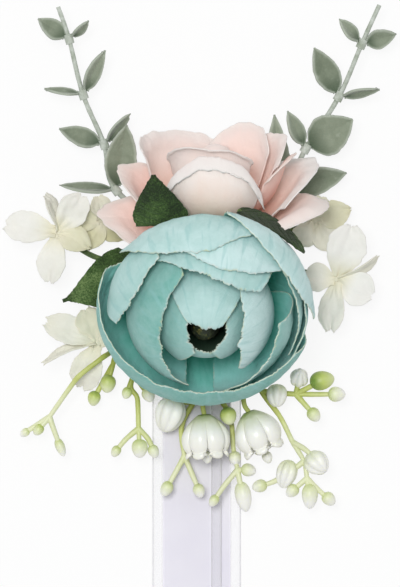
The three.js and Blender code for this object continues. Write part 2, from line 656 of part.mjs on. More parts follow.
blossom("blossom_left_upper", -88, point(-40, 10.3, 10), [
  { angle: -82, length: 14.8, width: 9, turn: 10, rise: 1 },
  { angle: -20, length: 11, width: 7, turn: 65, rise: 3 },
  { angle: 33, length: 12.4, width: 8.5, turn: 10, rise: 2 },
  { angle: 115, length: 10, width: 8, turn: -15, rise: 2 },
  { angle: 190, length: 14, width: 8, turn: 15, rise: 0 },
], point(-28, 3, 6));
blossom("blossom_left_inner", -66, point(-28, 13.5, 7), [
  { angle: -80, length: 8, width: 7, turn: 0, rise: 0 },
  { angle: -10, length: 7, width: 6, turn: 20, rise: 2 },
  { angle: 130, length: 8, width: 7, turn: 0, rise: 1 },
  { angle: 205, length: 9, width: 7, turn: 20, rise: 1 },
], point(-18, 9, 6));
blossom("blossom_left_lower", -122, point(-29.2, -19.7, 10), [
  { angle: -68, length: 15.5, width: 8, turn: 10, rise: 1 },
  { angle: -112, length: 16, width: 6, turn: 70, rise: 1 },
  { angle: -160, length: 13.5, width: 9, turn: 10, rise: -5 },
  { angle: -20, length: 10, width: 8, turn: 0, rise: 1 },
  { angle: 70, length: 7, width: 6, turn: 0, rise: 0 },
], point(-18, -9, 6));
blossom("blossom_right", 98, point(35.9, -2.4, 10), [
  { angle: 15, length: 15.4, width: 11, turn: 8, rise: 3 },
  { angle: 60, length: 13, width: 6, turn: 70, rise: 2 },
  { angle: 115, length: 10.8, width: 9.5, turn: 0, rise: 1 },
  { angle: 187, length: 14.6, width: 7.5, turn: 20, rise: 0 },
  { angle: -85, length: 9, width: 8, turn: 0, rise: 1 },
], point(22, 0.5, 6));
blossom("blossom_right_upper", 70, point(30, 13.5, 7), [
  { angle: 72, length: 10.5, width: 8, turn: 0, rise: 0 },
  { angle: 15, length: 7, width: 6, turn: 20, rise: 1 },
  { angle: 150, length: 9, width: 7, turn: 0, rise: 0 },
  { angle: 215, length: 8, width: 7, turn: 0, rise: 0 },
], point(19, 9, 6));

// Open lily-of-the-valley bells: where each crown sits on its stalk and where its mouth points
const frontBell = { crown: point(-0.2, -39.6, 9.2), mouth: point(0.6, -51, 9) };
const rightBell = { crown: point(12, -38.8, 9.4), mouth: point(17, -51, 9) };
const bellAxis = ({ crown, mouth }) => mouth.clone().sub(crown).normalize();

// The last two points of a bell's stalk, which runs up to the crown along the bell's axis
function stalkEnd(place) {
  const along = bellAxis(place);
  return [BELL_STALK, FIT].map((short) => place.crown.clone().addScaledVector(along, -short));
}

// Lily-of-the-valley sprays: moulded stems that branch, with a bud or a closed bell on each tip
function spray(name, bearing, runs, buds) {
  const foot = socket(bearing, HIGH_STEM_Z);
  const stems = runs.map((run, k) => curveThrough(k === 0 ? [foot, ...run] : run));
  const steps = stems.map((stem) => (stem.points.length > 2 ? stem.points.length : 1));
  const pieces = stems.map((stem, k) => tube(stem, STEM_RADIUS, steps[k], 5));
  buds.forEach(({ at, radius, length, direction }) => pieces.push(bud(at, radius, length, direction)));
  add(corsage, name, toGeometry(join(pieces)), lilyPlastic);
  embed(stems[0], STEM_RADIUS, steps[0]);
}
spray("lily_spray_left", -136, [
  [
    point(-23.6, -20.4, 8),
    point(-28, -23.9, 12.4),
    point(-33.8, -28.4, 12),
    point(-36.7, -31.9, 10),
    point(-42.4, -40, 8.5),
  ],
  [point(-42.4, -40, 8.5), point(-49.1, -44.3, 8)],
  [point(-42.4, -40, 8.5), point(-45.4, -43.5, 9)],
  [point(-42.4, -40, 8.5), point(-41, -44, 8.5), point(-39.4, -48.3, 8)],
  [point(-23.6, -20.4, 8), point(-25.2, -26, 6.8), point(-26.5, -31, 7)],
  [point(-25.2, -26, 6.8), point(-27.8, -30.4, 5.6), point(-30.3, -35, 6)],
], [
  { at: point(-49.1, -44.3, 8), radius: 1.2 },
  { at: point(-45.4, -43.5, 9), radius: 1.5 },
  { at: point(-39.4, -48.3, 8), radius: 1.4, length: 2.6, direction: point(0.4, -1, 0) },
  { at: point(-26.5, -31, 7), radius: 2.3 },
  { at: point(-30.3, -35, 6), radius: 1.9 },
]);
spray("lily_spray_lower_left", -152, [
  [point(-19.4, -28.6, 7), point(-18.4, -35.1, 7.5), point(-18.1, -43.2, 8), point(-17.8, -48.6, 8)],
  [point(-18.1, -43.2, 8), point(-21.5, -46, 8), point(-24.3, -49.4, 8)],
  [point(-18.1, -43.2, 8), point(-15.5, -46, 8), point(-14, -49.4, 8)],
  [point(-19.4, -28.6, 7), point(-21.3, -33.5, 7.5)],
  [point(-19.4, -28.6, 7), point(-15.4, -34, 7.5)],
], [
  { at: point(-17.8, -48.6, 8), radius: 2.4 },
  { at: point(-24.3, -49.4, 8), radius: 1.4 },
  { at: point(-14, -49.4, 8), radius: 1.6 },
  { at: point(-21.3, -33.5, 7.5), radius: 1.5 },
  { at: point(-15.4, -34, 7.5), radius: 1.9 },
]);
spray("lily_spray_centre", 180, [
  [point(2, -30, 6.5), point(6, -38, 6), point(7.3, -42.1, 5), point(7.8, -48.9, 5.5), point(8.9, -54.5, 7)],
  [point(7.3, -42.1, 5), point(6.4, -41, 8), point(6.4, -39.7, 10)],
  [point(8.9, -54.5, 7), point(11.9, -54.5, 8)],
  [point(8.9, -54.5, 7), point(9.6, -58, 7.5), point(10.5, -61.3, 7)],
  [point(8.9, -54.5, 7), point(5.5, -58.5, 7), point(2.4, -62.9, 7)],
  [point(2, -30, 6.5), point(-3, -36, 5.2), point(-6.4, -43, 4.6), point(-5.6, -50.8, 5)],
  [point(-5.6, -50.8, 5), point(-10.5, -59.7, 6)],
  [point(-5.6, -50.8, 5), point(-1.6, -60.2, 6)],
  [point(-3, -36, 5.2), point(-5.5, -36, 6.6), point(-8.7, -37.2, 7.6)],
  [point(2, -30, 6.5), ...stalkEnd(frontBell)],
], [
  { at: point(-9.6, -39.4, 7.8), radius: 4.2, length: 5, direction: point(-0.35, -1, 0) },
  { at: point(6.4, -39.7, 10), radius: 2.4 },
  { at: point(8.2, -51.4, 6), radius: 1.8 },
  { at: point(11.9, -54.5, 8), radius: 1.9 },
  { at: point(10.5, -61.8, 7), radius: 2.4, length: 4.2, direction: point(0.2, -1, 0) },
  { at: point(2.4, -62.9, 7), radius: 1.4 },
  { at: point(-10.5, -59.7, 6), radius: 1.8 },
  { at: point(-1.6, -60.2, 6), radius: 1.7 },
]);
spray("lily_spray_right", 156, [
  [
    point(11.6, -24, 6.7),
    point(15.4, -33, 6.5),
    point(20.5, -40, 5),
    point(24, -47, 6),
    point(27, -52.1, 7.5),
    point(27.8, -56.7, 8),
  ],
  [point(27.8, -56.7, 8), point(28.6, -61.6, 8)],
  [point(27.8, -56.7, 8), point(30.5, -59.5, 8), point(33.8, -62.4, 8)],
  [point(27.8, -56.7, 8), point(23.8, -60.2, 8)],
  [point(24, -47, 6), point(27.5, -49, 8), point(30.5, -52.1, 9)],
  [point(27, -52.1, 7.5), point(22.6, -55.6, 8)],
  [point(22.6, -55.6, 8), point(18.5, -57.8, 7), point(14.9, -58.9, 7)],
  [point(15.4, -33, 6.5), point(24.8, -33.8, 7.5), point(35.9, -33.8, 9)],
  [point(24.8, -33.8, 7.5), point(31.9, -30, 10)],
  [point(24.8, -33.8, 7.5), point(29.7, -39.4, 8.5)],
  [point(24.8, -33.8, 7.5), point(25.7, -29.2, 9)],
  [point(11.6, -24, 6.7), ...stalkEnd(rightBell)],
], [
  { at: point(28.6, -61.6, 8), radius: 2.4, length: 3.5, direction: point(0, -1, 0) },
  { at: point(33.8, -62.4, 8), radius: 1.9 },
  { at: point(23.8, -60.2, 8), radius: 1.8 },
  { at: point(30.5, -52.6, 9), radius: 3.4 },
  { at: point(22.2, -55.6, 8), radius: 2.9, length: 4, direction: point(-0.3, -1, 0) },
  { at: point(14.9, -58.9, 7), radius: 1.9 },
  { at: point(35.9, -33.8, 9), radius: 2.2 },
  { at: point(31.9, -30, 10), radius: 2.8, length: 3.4, direction: point(1, 0.2, 0) },
  { at: point(29.7, -39.4, 8.5), radius: 1.9 },
  { at: point(19.6, -34.2, 8), radius: 3 },
  { at: point(25.7, -29.2, 9), radius: 2.6 },
]);

// Open bells: a thin flared cup with a short neck that is pressed on to its stalk
function bell(name, place) {
  const wall = BELL_WALL;
  const profile = [
    new THREE.Vector2(0, 0),
    new THREE.Vector2(BELL_RADIUS * 0.45, 0),
    new THREE.Vector2(BELL_RADIUS * 0.85, BELL_LENGTH * 0.25),
    new THREE.Vector2(BELL_RADIUS, BELL_LENGTH * 0.6),
    new THREE.Vector2(BELL_RADIUS * 0.9, BELL_LENGTH * 0.85),
    new THREE.Vector2(BELL_RADIUS, BELL_LENGTH),
    new THREE.Vector2(BELL_RADIUS - wall, BELL_LENGTH),
    new THREE.Vector2(BELL_RADIUS * 0.9 - wall, BELL_LENGTH * 0.85),
    new THREE.Vector2(BELL_RADIUS - wall, BELL_LENGTH * 0.6),
    new THREE.Vector2(BELL_RADIUS * 0.85 - wall, BELL_LENGTH * 0.25 + wall),
    new THREE.Vector2(0, wall),
  ];
  const geometry = new THREE.LatheGeometry(profile, 10).rotateX(Math.PI / 2);
  geometry.applyQuaternion(new THREE.Quaternion().setFromUnitVectors(UP, bellAxis(place)));
  add(corsage, name, geometry.translate(place.crown.x, place.crown.y, place.crown.z), lilyWhite);
}
bell("lily_bell_front", frontBell);
bell("lily_bell_right", rightBell);

// Glue mound: a low dome on the felt, with a slot for the ribbon and a socket round every stem
const moundProfile = [new THREE.Vector2(0, 0)];
for (let k = 0; k <= MOUND_STEPS; k += 1) {
  const share = 1 - k / MOUND_STEPS;
  moundProfile.push(new THREE.Vector2(MOUND_RADIUS * share, MOUND_HEIGHT * (1 - share ** 3)));
}
const dome = new THREE.LatheGeometry(moundProfile, 16).rotateX(Math.PI / 2);
dome.translate(0, MOUND_CENTRE_Y, FELT_THICKNESS + FIT);
const slotTop = frontLevel + RIBBON_THICKNESS / 2 + FIT;
const slotEnd = RIBBON_FOLD_REACH + foldRadius * 2 + FIT;
const slotLeft = Math.min(FRONT_TAIL_OFFSET, BACK_TAIL_OFFSET) - RIBBON_WIDTH / 2 - FIT;
const slotRight = Math.max(FRONT_TAIL_OFFSET, BACK_TAIL_OFFSET) + RIBBON_WIDTH / 2 + FIT;
const slot = new THREE.BoxGeometry(slotRight - slotLeft, FELT_RADIUS + slotEnd, 2 * slotTop);
slot.translate((slotLeft + slotRight) / 2, (slotEnd - FELT_RADIUS) / 2, 0);
const mound = embedded.reduce((body, stem) => body.subtract(stem), toSolid(dome).subtract(toSolid(slot)));
add(corsage, "glue_mound", toGeometry(mound), glue);

export default corsage;
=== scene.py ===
import math
from functools import partialmethod
from types import SimpleNamespace

import bpy
from mathutils import Matrix, Quaternion, Vector, noise


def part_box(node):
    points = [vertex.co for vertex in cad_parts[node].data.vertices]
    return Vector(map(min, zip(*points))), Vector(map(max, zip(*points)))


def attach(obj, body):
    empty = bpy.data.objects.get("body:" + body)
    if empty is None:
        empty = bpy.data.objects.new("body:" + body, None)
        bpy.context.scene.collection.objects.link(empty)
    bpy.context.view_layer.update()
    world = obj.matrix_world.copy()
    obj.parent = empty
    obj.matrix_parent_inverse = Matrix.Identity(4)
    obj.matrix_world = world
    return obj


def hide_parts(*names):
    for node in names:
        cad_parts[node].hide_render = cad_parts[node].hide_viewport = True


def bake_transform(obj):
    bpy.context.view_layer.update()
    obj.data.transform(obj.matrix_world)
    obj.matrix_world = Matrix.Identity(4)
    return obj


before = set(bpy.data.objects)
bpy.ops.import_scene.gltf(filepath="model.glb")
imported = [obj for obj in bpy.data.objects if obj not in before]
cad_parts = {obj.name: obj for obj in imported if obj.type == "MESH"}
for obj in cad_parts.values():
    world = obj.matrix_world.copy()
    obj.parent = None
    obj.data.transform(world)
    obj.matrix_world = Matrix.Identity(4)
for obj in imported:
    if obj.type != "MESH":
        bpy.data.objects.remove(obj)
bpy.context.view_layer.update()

# Felt pad
# A round pad die-cut from thick white craft felt. It lies on the wrist, and everything else is glued to its
# upper face. The matted fibres give it a soft, slightly uneven edge.
MM = 0.001
FELT_CORNER = 0.5 * MM
FELT_FUZZ = 0.12 * MM
FELT_FIBRE = 1.4 * MM


def paint(red, green, blue):
    """A finish's colour as it is matched on a screen, made linear for the shader."""
    shares = [value / 255 for value in (red, green, blue)]
    linear = [share / 12.92 if share <= 0.04045 else ((share + 0.055) / 1.055) ** 2.4 for share in shares]
    return (*linear, 1.0)


def feed(tree, socket, value):
    """Links a value from another node to a socket, or sets a plain one on it."""
    if isinstance(value, Field):
        value = value.socket
    if isinstance(value, bpy.types.NodeSocket):
        tree.links.new(value, socket)
    else:
        socket.default_value = value


def place(tree, kind, inputs=None, **settings):
    """Puts a node in a tree, with its settings and what feeds its inputs."""
    node = tree.nodes.new(kind)
    for name, value in settings.items():
        setattr(node, name, value)
    for name, value in (inputs or {}).items():
        feed(tree, node.inputs[name], value)
    return node


def output(tree, kind, inputs=None, **settings):
    """The first output of a node that is put in a tree."""
    return Field(tree, place(tree, kind, inputs, **settings).outputs[0])


class Field:
    """A value that a node tree works out, so that a rule in nodes reads as plain arithmetic."""

    def __init__(self, tree, socket):
        self.tree = tree
        self.socket = socket

    def work(self, operation, *others):
        return output(self.tree, "ShaderNodeMath", dict(enumerate((self, *others))), operation=operation)

    def __rsub__(self, other):
        return self * -1.0 + other

    __add__ = __radd__ = partialmethod(work, "ADD")
    __sub__ = partialmethod(work, "SUBTRACT")
    __mul__ = __rmul__ = partialmethod(work, "MULTIPLY")
    __truediv__ = partialmethod(work, "DIVIDE")
    __pow__ = partialmethod(work, "POWER")
    __abs__ = partialmethod(work, "ABSOLUTE")

    def smooth(self, low, high):
        """Rises softly from 0 at low to 1 at high."""
        sockets = {"Value": self, "From Min": low, "From Max": high}
        return output(self.tree, "ShaderNodeMapRange", sockets, interpolation_type="SMOOTHSTEP")


def speckle(tree, scale, detail=4.0, roughness=0.6, distortion=0.0):
    """Soft noise from 0 to 1 that sits on the piece, with features about 1/scale metres across."""
    sockets = {"Vector": place(tree, "ShaderNodeTexCoord").outputs["Object"], "Scale": scale,
               "Detail": detail, "Roughness": roughness, "Distortion": distortion}
    return output(tree, "ShaderNodeTexNoise", sockets)


def ramp(share, *stops):
    """A row of colours, each with its own share of the way and its red, green and blue."""
    node = place(share.tree, "ShaderNodeValToRGB", {"Fac": share})
    elements = node.color_ramp.elements
    for element, stop in ((elements[0], stops[0]), (elements[1], stops[-1])):
        element.position = stop[0]
        element.color = paint(*stop[1:])
    for position, *colour in stops[1:-1]:
        elements.new(position).color = paint(*colour)
    return node.outputs["Color"]


def finish(name, **plain):
    """A new finish with plain values on its shader: its material and its node tree."""
    material = bpy.data.materials.new(name)
    material.use_nodes = True
    tree = material.node_tree
    for label, value in plain.items():
        vary(tree, label.replace("_", " "), value)
    return material, tree


def vary(tree, label, value):
    """Sets an input of a finish's shader, or lets a value that changes over the surface feed it."""
    feed(tree, tree.nodes["Principled BSDF"].inputs[label], value)


def texture(tree, height, depth):
    """Raises a finish's surface by a height field, depth metres at most."""
    vary(tree, "Normal", output(tree, "ShaderNodeBump", {"Height": height, "Distance": depth}))


def grained(name, grain, depth, *stops, **plain):
    """A finish with one grain in its colour and its surface; grain holds the settings of the speckle."""
    material, tree = finish(name, **plain)
    grain = speckle(tree, **grain)
    vary(tree, "Base Color", ramp(grain, *stops))
    texture(tree, grain, depth)
    return material


def show(name, data):
    """Puts a mesh, a lamp or a camera into the scene as an object at the origin."""
    holder = bpy.data.objects.new(name, data)
    bpy.context.collection.objects.link(holder)
    return holder


def new_piece(name, points, faces, material):
    mesh = bpy.data.meshes.new(name)
    mesh.from_pydata(points, [], faces)
    mesh.materials.append(material)
    return show(name, mesh)


def turned(name, profile, material, segments=40, where=Matrix(), unit=MM):
    """A round piece from its profile, (radius, height) pairs from axis to axis."""
    points = []
    rings = []
    for radius, height in [(r * unit, z * unit) for r, z in profile]:
        count = segments if radius > 0 else 1
        rings.append([len(points) + k for k in range(count)])
        for k in range(count):
            turn = 2 * math.pi * k / segments
            points.append(where @ Vector((radius * math.cos(turn), radius * math.sin(turn), height)))
    faces = []
    for low, high in zip(rings, rings[1:]):
        for k in range(segments):
            after = (k + 1) % segments
            corners = [low[k % len(low)], low[after % len(low)], high[after % len(high)], high[k % len(high)]]
            faces.append(list(dict.fromkeys(corners)))
    piece = new_piece(name, points, faces, material)
    piece.data.shade_smooth()
    return piece


def roughen(piece, amount, pitch, lowest=-math.inf):
    """Moves a piece's surface in and out by soft noise, but nowhere below its lowest level."""
    for vertex, normal in zip(piece.data.vertices, [n.vector.copy() for n in piece.data.vertex_normals]):
        vertex.co += normal * noise.noise(vertex.co / pitch) * amount
        vertex.co.z = max(vertex.co.z, lowest)


def rounded_disc(radius, low, high, corner, steps=6):
    """The profile of a disc with rounded corners, bottom to top."""
    turns = [math.pi / 2 * k / steps for k in range(steps + 1)]
    lower = [(radius - corner + corner * math.sin(a), low + corner - corner * math.cos(a)) for a in turns]
    upper = [(radius - corner + corner * math.cos(a), high - corner + corner * math.sin(a)) for a in turns]
    inner = [share * (radius - corner) for share in (0.25, 0.5, 0.75)]
    below = [(r, low) for r in inner]
    above = [(r, high) for r in reversed(inner)]
    return [(0, low), *below, *lower, *upper, *above, (0, high)]


def gather(pieces, node):
    """Joins the parts of one piece into the first of them, which stands for a node of the corsage."""
    whole = pieces[0]
    if len(pieces) > 1:
        chosen = {"active_object": whole, "selected_editable_objects": pieces, "selected_objects": pieces}
        with bpy.context.temp_override(**chosen):
            bpy.ops.object.join()
    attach(whole, "corsage")
    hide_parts(node)


felt_finish = grained(
    "white felt", {"scale": 2600, "detail": 6.0, "roughness": 0.75, "distortion": 1.5}, 0.4 * MM,
    (0.3, 214, 211, 204), (0.7, 244, 242, 238), Roughness=0.95, Sheen_Weight=0.3)
felt_low, felt_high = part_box("felt_backing")
felt_diameter = felt_high.x - felt_low.x
felt_profile = rounded_disc(felt_diameter / 2, felt_low.z, felt_high.z, FELT_CORNER)
felt_pad = turned("felt_pad", felt_profile, felt_finish, segments=128, unit=1.0)
roughen(felt_pad, FELT_FUZZ, FELT_FIBRE, felt_low.z)
gather([felt_pad], "felt_backing")

# Ribbon
# One length of white satin ribbon with sheer organza edges, folded double under the flowers. Both ends come
# out at the front as tails that tie the corsage to the wrist. Each tail is cut here where it can bend.
RIBBON_THICKNESS = 0.16 * MM
RIBBON_COLUMNS = 20
RIBBON_STEP = 1.5 * MM
CUT_SHARE = 0.02
SATIN_HALF = 6.6 * MM
SEAM_BLUR = 0.15 * MM
SEAM_FADE = (0.1 * MM, 0.5 * MM)
SELVEDGE = (9.05 * MM, 9.2 * MM)
SATIN_COVER = 0.86
SHEER_COVER = 0.2
SELVEDGE_COVER = 0.3
SEAM_COVER = 0.12
SOLID_HALF_THICKNESS = 0.175 * MM
TAIL_ROOT = 6 * MM
WAVE_PITCH = 9 * MM
WAVE_HEIGHT = 0.25 * MM
FOLD_STEP = math.pi / 8


def parted(tree, vector):
    """The x, y and z of a vector."""
    return [Field(tree, axis) for axis in place(tree, "ShaderNodeSeparateXYZ", {0: vector}).outputs]


def on_cloth(tree):
    """Where a point lies on its cloth when that is flat: across it and along it, in metres."""
    weave = place(tree, "ShaderNodeAttribute", attribute_name="weave").outputs["Vector"]
    return parted(tree, weave)[:2]


def mixed(share, first, second):
    """The first colour where the share is 0, and the second where it is 1."""
    return place(share.tree, "ShaderNodeMix", {0: share, 6: first, 7: second}, data_type="RGBA").outputs[2]


satin_finish, tree = finish("satin ribbon", Roughness=0.38, Sheen_Weight=0.25, Specular_IOR_Level=0.35)
from_middle = abs(on_cloth(tree)[0])
organza = from_middle.smooth(SATIN_HALF - SEAM_BLUR, SATIN_HALF + SEAM_BLUR)
selvedge = from_middle.smooth(*SELVEDGE)
seam = 1.0 - abs(from_middle - SATIN_HALF).smooth(*SEAM_FADE)
satin_colour = ramp(speckle(tree, 60, detail=1.0), (0.3, 235, 232, 244), (0.7, 242, 240, 249))
vary(tree, "Base Color", mixed(organza, satin_colour, paint(244, 243, 248)))
cover = (1.0 - organza) * SATIN_COVER + organza * SHEER_COVER + SELVEDGE_COVER * selvedge + SEAM_COVER * seam
vary(tree, "Alpha", cover.work("MINIMUM", 1.0))

_, ribbon_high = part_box("ribbon_middle")
tails = {}
for side in ("back", "front"):
    near_low, near_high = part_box(side + "_tail_near")
    far_low, far_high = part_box(side + "_tail_far")
    tails[side] = SimpleNamespace(
        x=(near_low.x + near_high.x) / 2, high=near_high.z - SOLID_HALF_THICKNESS,
        low=(far_low.z + far_high.z) / 2, hinge=near_high.y, bend=far_high.y, end=far_low.y)
ribbon_width = near_high.x - near_low.x


def mark(mesh, name, values):
    """Stores a number or a vector for every point of a mesh."""
    vectors = isinstance(values[0], tuple)
    layer = mesh.attributes.new(name, "FLOAT_VECTOR" if vectors else "FLOAT", "POINT").data
    numbers = [number for value in values for number in value] if vectors else values
    layer.foreach_set("vector" if vectors else "value", numbers)


def ribbon_piece(name, places):
    """A stretch of ribbon through the places of its middle line, as a thin closed shell, and its length."""
    start, end = places[0].lerp(places[1], CUT_SHARE), places[-1].lerp(places[-2], CUT_SHARE)
    places = [places[0], start, *places[1:-1], end, places[-1]]
    points = []
    weave = []
    travelled = 0.0
    for row, spot in enumerate(places):
        before = places[max(row - 1, 0)]
        after = places[min(row + 1, len(places) - 1)]
        heading = Vector((0, after.y - before.y, after.z - before.z)).normalized()
        upwards = heading.cross(Vector((1, 0, 0))) * RIBBON_THICKNESS / 2
        if row:
            travelled += (spot - before).length
        for side in (1, -1):
            for column in range(RIBBON_COLUMNS + 1):
                shift = ribbon_width / 2 * (2 * column / RIBBON_COLUMNS - 1)
                points.append(spot + Vector((shift, 0, 0)) + upwards * side)
                weave.append((shift, travelled, 0))
    wide = RIBBON_COLUMNS + 1
    faces = []
    for row in range(len(places) - 1):
        for column, turn in ((0, 1), (RIBBON_COLUMNS, -1)):
            first = row * 2 * wide + column
            faces.append((first, first + wide, first + 3 * wide, first + 2 * wide)[::turn])
    for row, turn in ((0, -1), (len(places) - 1, 1)):
        for column in range(RIBBON_COLUMNS):
            first = row * 2 * wide + column
            faces.append((first, first + wide, first + wide + 1, first + 1)[::turn])
    cut_faces = len(faces)
    for row in range(len(places) - 1):
        for column in range(RIBBON_COLUMNS):
            first = row * 2 * wide + column
            faces.append((first, first + 2 * wide, first + 2 * wide + 1, first + 1))
            first += wide
            faces.append((first, first + 1, first + 2 * wide + 1, first + 2 * wide))
    piece = new_piece(name, points, faces, satin_finish)
    mark(piece.data, "weave", weave)
    for face in piece.data.polygons:
        face.use_smooth = face.index >= cut_faces
    return piece, travelled


def stepped(first, last, step):
    """Even steps from first to last, each about as long as asked."""
    count = max(2, round(abs(last - first) / step))
    return [first + (last - first) * k / count for k in range(count + 1)]


def soft_step(value):
    share = min(max(value, 0.0), 1.0)
    return share * share * (3 - 2 * share)


def tail_places(tail, first, last):
    """A tail's middle line: down from the felt's edge, then along the table with slow waves."""
    places = []
    for y in stepped(first, last, RIBBON_STEP):
        fall = soft_step((tail.hinge - y) / (tail.hinge - tail.bend))
        wave = 0.5 - 0.5 * math.cos((tail.hinge - y) / WAVE_PITCH)
        level = tail.high + (tail.low - tail.high) * fall + WAVE_HEIGHT * wave * soft_step(fall * 2)
        places.append(Vector((tail.x, y, level)))
    return places


for side, tail in tails.items():
    middle = (tail.hinge + tail.bend) / 2
    near_places = tail_places(tail, tail.hinge + TAIL_ROOT, middle)
    near_tail, near_length = ribbon_piece("satin_" + side + "_tail", near_places)
    far_tail, far_length = ribbon_piece("satin_" + side + "_tail_end", tail_places(tail, middle, tail.end))
    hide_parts(side + "_tail_near")
    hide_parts(side + "_tail_far")
    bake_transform(near_tail)
    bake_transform(far_tail)

back, front = tails["back"], tails["front"]
fold_radius = (front.high - back.high) / 2
fold_y = ribbon_high.y - 2 * fold_radius
fold_centre = Vector((0, fold_y, back.high + fold_radius))
fold_places = [Vector((0, y, back.high)) for y in stepped(back.hinge + TAIL_ROOT, fold_y, RIBBON_STEP)]
for turn in stepped(-math.pi / 2, math.pi / 2, FOLD_STEP)[1:-1]:
    fold_places.append(fold_centre + Vector((0, math.cos(turn), math.sin(turn))) * fold_radius)
fold_places += [Vector((0, y, front.high)) for y in stepped(fold_y, front.hinge + TAIL_ROOT, RIBBON_STEP)]
for row, spot in enumerate(fold_places):
    spot.x = back.x + (front.x - back.x) * soft_step(row / (len(fold_places) - 1))
satin_fold, fold_length = ribbon_piece("satin_fold", fold_places)
gather([satin_fold], "ribbon_middle")

# Glue
# Beads of clear hot-melt glue, pressed on while soft and set into one lumpy mound. It holds the ribbon, the
# stems and the calyxes on the felt.
GLUE_STEPS = 14
GLUE_LUMP = 1.1 * MM
GLUE_LUMP_PITCH = 5 * MM

glue_finish = grained(
    "hot glue", {"scale": 220, "detail": 3.0}, 0.5 * MM, (0.35, 222, 218, 200), (0.65, 240, 238, 226),
    Roughness=0.22, Subsurface_Weight=0.25, Subsurface_Radius=(0.004, 0.004, 0.003))
glue_low, glue_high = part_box("glue_mound")
glue_centre = Matrix.Translation(((glue_low.x + glue_high.x) / 2, (glue_low.y + glue_high.y) / 2, 0))
glue_radius = (glue_high.x - glue_low.x) / 2
glue_height = glue_high.z - glue_low.z
glue_profile = [(0, glue_low.z)]
for k in range(GLUE_STEPS + 1):
    share = 1 - k / GLUE_STEPS
    glue_profile.append((glue_radius * share, glue_low.z + glue_height * (1 - share ** 3)))
glue_beads = turned("glue_beads", glue_profile, glue_finish, segments=72, where=glue_centre, unit=1.0)
roughen(glue_beads, GLUE_LUMP, GLUE_LUMP_PITCH, glue_low.z)
gather([glue_beads], "glue_mound")

# Ranunculus petals
# Fifteen cupped petals of thin aqua silk, hand torn so that the rims fray, dyed pale outside and deep teal
# inside.
# The inside is painted darker towards the root, partly the dye and partly painted shade, and the heart petals
# carry painted shade deep in the middle. Each is pressed over a warm ball, and they are glued one shell
# inside another round the core.


def at(x, y, z):
    """A place on the corsage, given in millimetres."""
    return Vector((x, y, z)) * MM


DEGREE = math.pi / 180
RANUNCULUS_CENTRE = at(0, -10.3, 31.03)
RANUNCULUS_TILT = math.radians(33)
RANUNCULUS_RADIUS = 28.8
RANUNCULUS_HALF_HEIGHT = 17.5
LAYER_GAP = 1.1
SHELL_FLATTENING = 0.2
MIDDLE_RISE = 3
MIDDLE_FADE = 6
HEART_LAYER = 6
HEART_INSET = 12
HEART_SINK = 0.32
CORE_RADIUS = 4.4
CORE_CLEARANCE = 0.45
SILK_THICKNESS = 0.32 * MM
WELD = 1e-6
TOOTH_STEP = 0.42
TOOTH_PITCH = 0.8
TOOTH_DEPTH = 2.6
RIM_WAVE_PITCH = 6.0
RIM_WAVE_DEPTH = 3.2
SIDE_TOOTH_PITCH = 0.9
SIDE_TOOTH_DEPTH = 0.06
CRUMPLE_DEPTH = 0.9
CREASE_DEPTH = 0.35
HEART_CRUMPLE = 0.35
FEWEST_COLUMNS = 60


def inputs_of(tree, labels):
    """The inputs of a tree, by their names."""
    given = place(tree, "NodeGroupInput").outputs
    return SimpleNamespace(**{label: Field(tree, given[label]) for label in labels})


def shape_tree(name, **sizes):
    """An empty geometry tree with a named input for each size: the tree and its inputs."""
    kinds = {float: "NodeSocketFloat", int: "NodeSocketInt", tuple: "NodeSocketVector",
             type(None): "NodeSocketMaterial", str: "NodeSocketGeometry"}
    tree = bpy.data.node_groups.new(name, "GeometryNodeTree")
    for label, value in sizes.items():
        socket = tree.interface.new_socket(label, in_out="INPUT", socket_type=kinds[type(value)])
        if isinstance(value, (float, int, tuple)):
            socket.default_value = value
    tree.interface.new_socket("Mesh", in_out="OUTPUT", socket_type="NodeSocketGeometry")
    return tree, inputs_of(tree, sizes)


def end_tree(mesh):
    place(mesh.tree, "NodeGroupOutput", {"Mesh": mesh})


def combined(x, y, z):
    return output(x.tree, "ShaderNodeCombineXYZ", {"X": x, "Y": y, "Z": z})


def scaled(vector, factor):
    return output(vector.tree, "ShaderNodeVectorMath", {0: vector, "Scale": factor}, operation="SCALE")


def keep(mesh, **values):
    """Stores numbers and vectors on every point of a mesh under their names."""
    for name, value in values.items():
        kind = "FLOAT_VECTOR" if value.socket.type == "VECTOR" else "FLOAT"
        sockets = {"Geometry": mesh, "Name": name, "Value": value}
        mesh = output(mesh.tree, "GeometryNodeStoreNamedAttribute", sockets, data_type=kind)
    return mesh


def kept(tree, name, kind="FLOAT"):
    """Reads a value that was stored on the points."""
    return output(tree, "GeometryNodeInputNamedAttribute", {"Name": name}, data_type=kind)


def cloth_grid(tree, columns, rows, facing=-1.0):
    """A flat cloth to be shaped: across runs from -1 to 1, up from 0 to 1; facing turns it over."""
    sockets = {"Size X": 2.0, "Size Y": 1.0, "Vertices X": columns, "Vertices Y": rows}
    mesh = output(tree, "GeometryNodeMeshGrid", sockets)
    x, y, _ = parted(tree, output(tree, "GeometryNodeInputPosition"))
    return keep(mesh, across=x * facing, up=y + 0.5), kept(tree, "across"), kept(tree, "up")


def ripple(x, y, seed, detail=1.0):
    """Soft noise round zero, for edges and surfaces of which no two are alike."""
    sockets = {"Vector": combined(x, y, seed), "Scale": 1.0, "Detail": detail}
    return output(x.tree, "ShaderNodeTexNoise", sockets) - 0.5


def put(mesh, position):
    """Sets the points of a mesh."""
    return output(mesh.tree, "GeometryNodeSetPosition", {"Geometry": mesh, "Position": position})


def pushed(mesh, distance):
    """Moves the points of a mesh along their normals."""
    push = scaled(output(mesh.tree, "GeometryNodeInputNormal"), distance)
    return output(mesh.tree, "GeometryNodeSetPosition", {"Geometry": mesh, "Offset": push})


